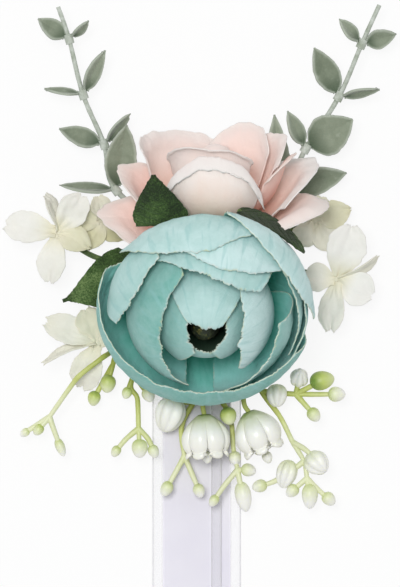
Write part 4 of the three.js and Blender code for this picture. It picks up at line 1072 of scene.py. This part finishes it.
# A sprig's bearing in the glue, the points of its stem, and for each leaf pair the tip, width, roll and tone.
sprigs = {
    "left": (-50, [
        (-24.3, 21.9, 6.5), (-27.5, 34.3, 8), (-33.2, 47.8, 9), (-37, 62.9, 9.5), (-40, 71.7, 9.5)
    ], [
        [((-21.3, 39.4, 13), 8.6, 10, 0.35), ((-39.7, 23.2, 8), 6, 62, 0.6)],
        [((-39.7, 38.5, 10), 5.6, 15, 0.6), ((-20.3, 42.7, 8.5), 5, 60, 0.4)],
        [((-27.1, 59.8, 11), 5, 40, 0.3), ((-43.7, 49.4, 10), 5, 68, 0.5)],
        [((-45.4, 68.4, 11), 5.4, 15, 0.5), ((-31.6, 67.8, 11), 5, 70, 0.4)],
    ]),
    "right": (44, [
        (21.6, 22.1, 6.5), (27.5, 33.2, 8), (36.5, 47.3, 9), (42.7, 61.6, 9.5), (47.5, 72.2, 9.5)
    ], [
        [((18.9, 42.4, 8), 6, 20, 0.1), ((38.6, 26.5, 9), 8, 15, 0.5)],
        [((22.4, 43.2, 12), 5, 30, 0.3), ((40.2, 41, 11), 11, 5, 0.4)],
        [((29.7, 60.5, 11), 7, 10, 0.7), ((47.5, 49.1, 11), 5, 65, 0.5)],
        [((36.5, 68.3, 11), 5, 45, 0.3), ((52.1, 64.3, 10), 5.4, 20, 0.5)],
    ]),
}
for side, (bearing, stations, pairs) in sprigs.items():
    route = [socket_in_glue(bearing, STEM_SOCKET)] + [at(*spot) for spot in stations]
    gather([stems(f"sage_stem_{side}", [route], WIRE_RADIUS, WIRE_TIP, sage_stem)], f"eucalyptus_{side}_stem")
    for number, pair in enumerate(pairs, start=1):
        node = route[number]
        along = (route[number + 1] - route[number - 1]).normalized()
        collar_run = [node - along * COLLAR_HALF, node, node + along * COLLAR_HALF]
        parts = []
        for leaf, (tip, width, turn, tone) in enumerate(pair):
            tip = at(*tip)
            base = node + (tip - node).normalized() * LEAF_START * MM
            parts.append(blade(
                f"sage_pair_{side}_{number}_{leaf}", base, tip, width, sage, turn=turn, Arch=-0.06, Fold=0.3,
                Foot=0.001, End=0.00025, Tone=tone, Thickness=0.0006, Wave=0.25, Seed=number * 3.1 + leaf))
        parts.append(stems(f"collar_{side}_{number}", [collar_run], COLLAR_RADIUS, COLLAR_RADIUS, sage_stem))
        gather(parts, f"eucalyptus_{side}_leaves_{number}")

# White blossoms
# Five small blossoms of thin white silk, some petals dyed khaki. The broad loose petals are glued to a bead
# on a thin wrapped wire, which is set in the glue.
KHAKI_TONE = 0.6
PETAL_START = 0.6 * MM

white_silk, tree = finish("white silk", Roughness=0.85, Sheen_Weight=0.1)
silk = dyed(tree, paint(251, 250, 245), paint(204, 200, 144), on_mesh(tree, "tone"), 0.3, 150.0)
vary(tree, "Base Color", mixed(on_mesh(tree, "up").smooth(0.0, 0.5), paint(236, 232, 210), silk))
veil = 0.86 + on_mesh(tree, "tone") * 0.2 + (1.0 - on_mesh(tree, "up").smooth(0.2, 0.8)) * 0.1
vary(tree, "Alpha", veil.work("MINIMUM", 1.0))
woven(tree, pitch=0.35 * MM)

# Bearing in the glue, the bead's place, the stem's waypoint, and the petals: angle, length, width, roll, rise
# and tone.
blossoms = {
    "left_upper": (-88, (-40, 10.3, 10), (-28, 3, 6), [
        (-82, 14.8, 9, 10, 1, 0.05), (-20, 11, 7, 65, 3, 0.2), (33, 12.4, 8.5, 10, 2, 0.1),
        (115, 10, 8, -15, 2, 0.6), (190, 14, 8, 15, 0, 0.1)]),
    "left_inner": (-66, (-28, 13.5, 7), (-18, 9, 6), [
        (-80, 8, 7, 0, 0, 0.6), (-10, 7, 6, 20, 2, 0.4), (130, 8, 7, 0, 1, 0.8), (205, 9, 7, 20, 1, 0.7)]),
    "left_lower": (-122, (-29.2, -19.7, 10), (-18, -9, 6), [
        (-68, 15.5, 8, 10, 1, 0.25), (-112, 16, 6, 70, 1, 0.3), (-160, 13.5, 9, 10, -5, 0.2),
        (-20, 10, 8, 0, 1, 0.5), (70, 7, 6, 0, 0, 0.5)]),
    "right": (98, (35.9, -2.4, 10), (22, 0.5, 6), [
        (15, 15.4, 11, 8, 3, 0.0), (60, 13, 6, 70, 2, 0.3), (115, 10.8, 9.5, 0, 1, 0.0),
        (187, 14.6, 7.5, 20, 0, 0.15), (-85, 9, 8, 0, 1, 0.2)]),
    "right_upper": (70, (30, 13.5, 7), (19, 9, 6), [
        (72, 10.5, 8, 0, 0, 0.6), (15, 7, 6, 20, 1, 0.4), (150, 9, 7, 0, 0, 0.3), (215, 8, 7, 0, 0, 0.3)]),
}
POINTED = {"Peak": 0.9, "Blunt": 0.8, "End": 0.0004}
BROAD = {"Peak": 1.35, "Blunt": 0.5, "End": 0.0014}
bead_profile = [(0, -1.5), (0.9, -1.2), (1.4, -0.6), (1.2, 0), (0.6, 0.3), (0, 0.4)]
for name, (bearing, centre, waypoint, petals) in blossoms.items():
    centre = at(*centre)
    bead = turned(f"bead_{name}", bead_profile, white_silk, segments=20, where=Matrix.Translation(centre))
    stem_run = [socket_in_glue(bearing, STEM_SOCKET), at(*waypoint), centre - at(0, 0, 1)]
    stem = stems(f"blossom_stem_{name}", [stem_run], WIRE_RADIUS, WIRE_RADIUS, wire_finish)
    parts = []
    for number, (angle, length, width, turn, lift, tone) in enumerate(petals):
        outward = Vector((math.sin(math.radians(angle)), math.cos(math.radians(angle)), 0))
        tip = centre + outward * length * MM + Vector((0, 0, lift * MM))
        outline = POINTED if tone >= KHAKI_TONE else BROAD
        parts.append(blade(
            f"white_blossom_{name}_{number}", centre + outward * PETAL_START, tip, width, white_silk,
            turn=turn, Fold=0.15, Foot=0.0018, Ragged=0.35, Notch=0.06, Tatter=0.14, Tone=tone,
            Thickness=0.0003, Wave=0.9, Seed=bearing * 0.37 + number, **outline))
    gather([*parts, bead, stem], f"blossom_{name}")

# Lily-of-the-valley sprays
# Four moulded sprays of soft plastic: yellow-green stems that branch, with a bud or a closed bell on each
# tip, sprayed from green at the stalk to white.
BELL_STALK = 4.0
STALK_GAP = 0.3
CLOSED_BELL = 2.55
GREEN_BUD = 1.0
BUD_FLUTES = 0.03
BELL_FLUTES = 0.22
LILY_STEM = 0.8
LILY_STEM_TIP = 0.65

lily_green, tree = finish("lily green", Roughness=0.45)
grain = speckle(tree, 350, detail=3.0)
x, y, _ = parted(tree, place(tree, "ShaderNodeTexCoord").outputs["Object"])
faded = ((x ** 2.0 + y ** 2.0) ** 0.5).smooth(0.03, 0.06) + (grain - 0.5) * 0.5
vary(tree, "Base Color", ramp(faded, (0.05, 164, 174, 76), (0.5, 200, 208, 126), (0.95, 226, 230, 190)))
texture(tree, grain, 0.15 * MM)
lily_bud, tree = finish(
    "lily bud", Roughness=0.4, Subsurface_Weight=0.15, Subsurface_Radius=(0.002, 0.002, 0.0012))
height = 0.46 + on_mesh(tree, "up") * 0.5 + on_mesh(tree, "tone") * -0.34
height = height + (speckle(tree, 300, detail=2.0) - 0.5) * 0.2
vary(tree, "Base Color", ramp(height, (0.0, 122, 150, 62), (0.2, 188, 202, 110), (0.45, 222, 228, 184),
                              (0.75, 244, 244, 237)))

bud_tree, given = shape_tree("buds on tips", Tips="", Flutes=0.0, Finish=None)
ball = output(bud_tree, "GeometryNodeMeshUVSphere", {"Segments": 48, "Rings": 20, "Radius": 1.0})
x, y, z = parted(bud_tree, output(bud_tree, "GeometryNodeInputPosition"))
ball = keep(ball, up=z * 0.5 + 0.5)
around = y.work("ARCTAN2", x)
girdle = (0.92 - 0.14 * z) * (1.0 + (abs((around * 3.0).work("SINE")) - 0.6) * given.Flutes)
ball = put(ball, combined(x * girdle, y * girdle, z))
axis = kept(bud_tree, "axis", "FLOAT_VECTOR")
turn = output(bud_tree, "FunctionNodeAlignRotationToVector", {"Vector": axis}, axis="Z")
size = combined(kept(bud_tree, "girth"), kept(bud_tree, "girth"), kept(bud_tree, "length"))
sockets = {"Points": given.Tips, "Instance": ball, "Rotation": turn, "Scale": size}
buds = output(bud_tree, "GeometryNodeInstanceOnPoints", sockets)
buds = output(bud_tree, "GeometryNodeRealizeInstances", {"Geometry": buds})
end_tree(coated(smoothed(buds), given.Finish))


def buds_on_tips(name, tips, flutes):
    """Buds at their places, each with its girth, length, axis and tone of green."""
    places, girths, lengths, axes, tones = zip(*tips)
    mesh = bpy.data.meshes.new(name)
    mesh.from_pydata([at(*spot) for spot in places], [], [])
    mark(mesh, "girth", [girth * MM for girth in girths])
    mark(mesh, "length", [length * MM for length in lengths])
    mark(mesh, "tone", tones)
    mark(mesh, "axis", axes)
    return grow(name, bud_tree, mesh, Flutes=flutes, Finish=lily_bud)


# The open bells by the places of their crown and their mouth, because a spray's stalk ends at each crown.
bells = {
    "front": (at(-0.2, -39.6, 9.2), at(0.6, -51, 9)),
    "right": (at(12, -38.8, 9.4), at(17, -51, 9)),
}


def stalk_end(crown, mouth):
    along = (mouth - crown).normalized()
    return [tuple((crown - along * short * MM) / MM) for short in (BELL_STALK, STALK_GAP)]


# A spray's bearing in the glue, the points of its runs, and its buds: place, girth, length, axis and tone of
# green.
sprays = {
    "left": (-136, [
        [(-23.6, -20.4, 8), (-28, -23.9, 12.4), (-33.8, -28.4, 12), (-36.7, -31.9, 10), (-42.4, -40, 8.5)],
        [(-42.4, -40, 8.5), (-49.1, -44.3, 8)],
        [(-42.4, -40, 8.5), (-45.4, -43.5, 9)],
        [(-42.4, -40, 8.5), (-41, -44, 8.5), (-39.4, -48.3, 8)],
        [(-23.6, -20.4, 8), (-25.2, -26, 6.8), (-26.5, -31, 7)],
        [(-25.2, -26, 6.8), (-27.8, -30.4, 5.6), (-30.3, -35, 6)],
    ], [
        ((-49.1, -44.3, 8), 1.2, 1.5, (-1.0, -0.7, 0.0), 0.5),
        ((-45.4, -43.5, 9), 1.5, 1.7, (-0.6, -0.8, 0.2), 1.0),
        ((-39.4, -48.3, 8), 1.4, 2.6, (0.4, -1.0, 0.0), 0.6),
        ((-26.5, -31, 7), 2.3, 2.5, (-0.2, -1.0, 0.1), 1.2),
        ((-30.3, -35, 6), 1.9, 2.1, (-0.2, -1.0, 0.1), 1.3),
    ]),
    "lower_left": (-152, [
        [(-19.4, -28.6, 7), (-18.4, -35.1, 7.5), (-18.1, -43.2, 8), (-17.8, -48.6, 8)],
        [(-18.1, -43.2, 8), (-21.5, -46, 8), (-24.3, -49.4, 8)],
        [(-18.1, -43.2, 8), (-15.5, -46, 8), (-14, -49.4, 8)],
        [(-19.4, -28.6, 7), (-21.3, -33.5, 7.5)],
        [(-19.4, -28.6, 7), (-15.4, -34, 7.5)],
    ], [
        ((-17.8, -48.6, 8), 2.4, 2.6, (0.0, -1.0, 0.2), 0.6),
        ((-24.3, -49.4, 8), 1.4, 1.7, (-0.6, -1.0, 0.0), 0.8),
        ((-14, -49.4, 8), 1.6, 1.9, (0.4, -1.0, 0.0), 0.5),
        ((-21.3, -33.5, 7.5), 1.5, 1.7, (-0.4, -1.0, 0.2), 1.0),
        ((-15.4, -34, 7.5), 1.9, 2.1, (0.4, -1.0, 0.2), 0.5),
    ]),
    "centre": (180, [
        [(2, -30, 6.5), (6, -38, 6), (7.3, -42.1, 5), (7.8, -48.9, 5.5), (8.9, -54.5, 7)],
        [(7.3, -42.1, 5), (6.4, -41, 8), (6.4, -39.7, 10)],
        [(8.9, -54.5, 7), (11.9, -54.5, 8)],
        [(8.9, -54.5, 7), (9.6, -58, 7.5), (10.5, -61.3, 7)],
        [(8.9, -54.5, 7), (5.5, -58.5, 7), (2.4, -62.9, 7)],
        [(2, -30, 6.5), (-3, -36, 5.2), (-6.4, -43, 4.6), (-5.6, -50.8, 5)],
        [(-5.6, -50.8, 5), (-10.5, -59.7, 6)],
        [(-5.6, -50.8, 5), (-1.6, -60.2, 6)],
        [(-3, -36, 5.2), (-5.5, -36, 6.6), (-8.7, -37.2, 7.6)],
        [(2, -30, 6.5), *stalk_end(*bells["front"])],
    ], [
        ((-9.6, -39.4, 7.8), 4.2, 5.0, (-0.35, -1.0, 0.0), -0.4),
        ((6.4, -39.7, 10), 2.4, 2.5, (0.3, -1.0, 0.4), 1.4),
        ((8.2, -51.4, 6), 1.8, 2.0, (0.1, -1.0, 0.3), 0.4),
        ((11.9, -54.5, 8), 1.9, 2.1, (1.0, -0.2, 0.2), 0.5),
        ((10.5, -61.8, 7), 2.4, 4.2, (0.2, -1.0, 0.0), 0.0),
        ((2.4, -62.9, 7), 1.4, 1.8, (-0.6, -1.0, 0.0), 0.6),
        ((-10.5, -59.7, 6), 1.8, 2.2, (-0.5, -1.0, 0.0), 0.6),
        ((-1.6, -60.2, 6), 1.7, 2.0, (0.4, -1.0, 0.0), 0.4),
    ]),
    "right": (156, [
        [(11.6, -24, 6.7), (15.4, -33, 6.5), (20.5, -40, 5), (24, -47, 6), (27, -52.1, 7.5),
         (27.8, -56.7, 8)],
        [(27.8, -56.7, 8), (28.6, -61.6, 8)],
        [(27.8, -56.7, 8), (30.5, -59.5, 8), (33.8, -62.4, 8)],
        [(27.8, -56.7, 8), (23.8, -60.2, 8)],
        [(24, -47, 6), (27.5, -49, 8), (30.5, -52.1, 9)],
        [(27, -52.1, 7.5), (22.6, -55.6, 8)],
        [(22.6, -55.6, 8), (18.5, -57.8, 7), (14.9, -58.9, 7)],
        [(15.4, -33, 6.5), (24.8, -33.8, 7.5), (35.9, -33.8, 9)],
        [(24.8, -33.8, 7.5), (31.9, -30, 10)],
        [(24.8, -33.8, 7.5), (29.7, -39.4, 8.5)],
        [(24.8, -33.8, 7.5), (25.7, -29.2, 9)],
        [(11.6, -24, 6.7), *stalk_end(*bells["right"])],
    ], [
        ((28.6, -61.6, 8), 2.4, 3.5, (0.0, -1.0, 0.0), 0.3),
        ((33.8, -62.4, 8), 1.9, 2.1, (0.8, -0.8, 0.0), 0.4),
        ((23.8, -60.2, 8), 1.8, 2.0, (-0.7, -0.7, 0.0), 0.5),
        ((30.5, -52.6, 9), 3.4, 3.6, (0.6, -0.6, 0.4), 0.0),
        ((22.2, -55.6, 8), 2.9, 4.0, (-0.3, -1.0, 0.0), 0.0),
        ((14.9, -58.9, 7), 1.9, 2.1, (-1.0, -0.3, 0.0), 0.5),
        ((35.9, -33.8, 9), 2.2, 2.4, (1.0, 0.0, 0.1), 0.5),
        ((31.9, -30, 10), 2.8, 3.4, (1.0, 0.2, 0.0), 1.6),
        ((29.7, -39.4, 8.5), 1.9, 2.1, (0.6, -0.8, 0.1), 0.8),
        ((19.6, -34.2, 8), 3.0, 3.2, (0.0, -1.0, 0.3), 0.0),
        ((25.7, -29.2, 9), 2.6, 2.8, (0.1, 0.6, 0.6), -0.2),
    ]),
}
for name, (bearing, runs, tips) in sprays.items():
    routes = [[at(*spot) for spot in run] for run in runs]
    routes[0].insert(0, socket_in_glue(bearing, STALK_SOCKET))
    closed = [tip for tip in tips if tip[1] >= CLOSED_BELL and tip[4] < GREEN_BUD]
    small = [tip for tip in tips if tip not in closed]
    parts = [stems(f"lily_stems_{name}", routes, LILY_STEM, LILY_STEM_TIP, lily_green),
             buds_on_tips(f"lily_buds_{name}", small, BUD_FLUTES)]
    if closed:
        parts.append(buds_on_tips(f"lily_closed_{name}", closed, BELL_FLUTES))
    gather(parts, f"lily_spray_{name}")

# Open lily bells
# Two white moulded bells with six thick ribs that part towards the mouth, each pressed by its green crown on
# to the end of a stalk.
CLAPPER_GIRTH = 1.5
CLAPPER_LENGTH = 1.7
CLAPPER_TONE = -0.2

lily_white, tree = finish(
    "lily white", Roughness=0.28, Subsurface_Weight=0.15, Subsurface_Radius=(0.003, 0.003, 0.002))
height = on_mesh(tree, "up") + (speckle(tree, 300, detail=2.0) - 0.5) * 0.2
vary(tree, "Base Color", ramp(height, (0.0, 150, 168, 92), (0.16, 226, 228, 204), (0.4, 246, 246, 240),
                              (1.0, 244, 243, 234)))

bell_tree, given = shape_tree(
    "ribbed bell", Crown=(0.0, 0.0, 0.0), Turn=(0.0, 0.0, 0.0), Radius=0.0059, Length=0.0115, Lobes=6.0,
    Slit=0.16, Slit_Start=0.34, Rib=0.2, Thickness=0.0007, Finish=None)
mesh, across, up = cloth_grid(bell_tree, 145, 40)
around = across * math.pi
to_gap = abs(((across + 1.0) * 0.5 * given.Lobes).work("FRACT") - 0.5) * 2.0
round_out = bezier(0.24, 1.2, 1.32, 0.62, up) + 0.3 * up.smooth(0.84, 1.0)
round_out = round_out * (1.0 - given.Rib * to_gap ** 3.0 * up.smooth(0.05, 0.4))
down = up * (1.0 - 0.16 * to_gap * to_gap * up.smooth(0.6, 1.0))
out = given.Radius * round_out
shell = combined(out * around.work("SINE"), out * around.work("COSINE"), given.Length * down)
mesh = put(keep(mesh, gap=to_gap), shell)
open_from = 1.0 - given.Slit * up.smooth(given.Slit_Start, 1.0)
sockets = {"Geometry": mesh, "Selection": kept(bell_tree, "gap").work("GREATER_THAN", open_from)}
mesh = welded(output(bell_tree, "GeometryNodeDeleteGeometry", sockets, domain="FACE"))
mesh = thickened(mesh, given.Thickness, given.Finish, given.Finish, given.Finish)
end_tree(stood(mesh, given.Turn, given.Crown))
crown_profile = [(0, -0.5), (1.3, -0.3), (1.9, 0.4), (2.0, 1.0), (1.2, 1.2), (0, 1.25)]
for name, (crown, mouth) in bells.items():
    lean = UP.rotation_difference(mouth - crown)
    crown_place = Matrix.Translation(crown) @ lean.to_matrix().to_4x4()
    cup = grow(f"lily_cup_{name}", bell_tree, Crown=crown, Turn=Vector(lean.to_euler()), Finish=lily_white)
    cap = turned(f"lily_crown_{name}", crown_profile, calyx_finish, segments=24, where=crown_place)
    clapper_tip = (tuple(mouth / MM), CLAPPER_GIRTH, CLAPPER_LENGTH, tuple(mouth - crown), CLAPPER_TONE)
    clapper = buds_on_tips(f"lily_clapper_{name}", [clapper_tip], BUD_FLUTES)
    gather([cup, cap, clapper], f"lily_bell_{name}")

# Floor, light and camera
# The corsage lies on a plain white sweep under one soft lamp and an even white sky. The camera looks straight
# down on it.
FLOOR_HALF = 3.0
FLOOR_LEVEL = -0.15 * MM
FLOOR_GLOW = 0.88
SKY_STRENGTH = 0.5
KEY_SPOT = Vector((-0.14, 0.14, 1.15))
KEY_TARGET = Vector((0, 0, 0.02))


def watched(tree):
    """1 where the camera looks, also by way of gloss or glass, and 0 where light is gathered."""
    seen = place(tree, "ShaderNodeLightPath").outputs
    direct = Field(tree, seen["Is Camera Ray"])
    return direct.work("MAXIMUM", seen["Is Glossy Ray"]).work("MAXIMUM", seen["Is Transmission Ray"])


sweep, tree = finish("white sweep", Base_Color=paint(244, 244, 244), Roughness=0.9, Specular_IOR_Level=0.1)
lit = tree.nodes["Principled BSDF"].outputs[0]
glow = output(tree, "ShaderNodeEmission", {"Color": (1, 1, 1, 1), "Strength": 1.0})
bright = output(tree, "ShaderNodeMixShader", {0: watched(tree) * FLOOR_GLOW, 1: lit, 2: glow})
below = place(tree, "ShaderNodeNewGeometry").outputs["Backfacing"]
clear = output(tree, "ShaderNodeBsdfTransparent")
surface = output(tree, "ShaderNodeMixShader", {0: below, 1: bright, 2: clear})
feed(tree, tree.nodes["Material Output"].inputs["Surface"], surface)
corners = [(x * FLOOR_HALF, y * FLOOR_HALF, FLOOR_LEVEL) for x, y in ((-1, -1), (1, -1), (1, 1), (-1, 1))]
new_piece("floor", corners, [(0, 1, 2, 3)], sweep)

world = bpy.data.worlds.new("studio")
world.use_nodes = True
bpy.context.scene.world = world
tree = world.node_tree
tree.nodes.clear()
strength = SKY_STRENGTH + watched(tree) * (1 - SKY_STRENGTH)
sky = output(tree, "ShaderNodeBackground", {"Color": (1, 1, 1, 1), "Strength": strength})
place(tree, "ShaderNodeOutputWorld", {"Surface": sky})

lamp = bpy.data.lights.new("key", "AREA")
lamp.size = 0.35
lamp.energy = 7.0
key = show("key", lamp)
key.location = KEY_SPOT
key.rotation_euler = (KEY_TARGET - KEY_SPOT).to_track_quat("-Z", "Y").to_euler()

camera = bpy.data.cameras.new("overhead")
camera.lens = 272.6
camera.sensor_width = 36
camera.clip_end = 20
overhead = show("overhead", camera)
overhead.location = (-1.35 * MM, -6.35 * MM, 1.22)
bpy.context.scene.camera = overhead
bpy.context.scene.view_settings.view_transform = "Standard"
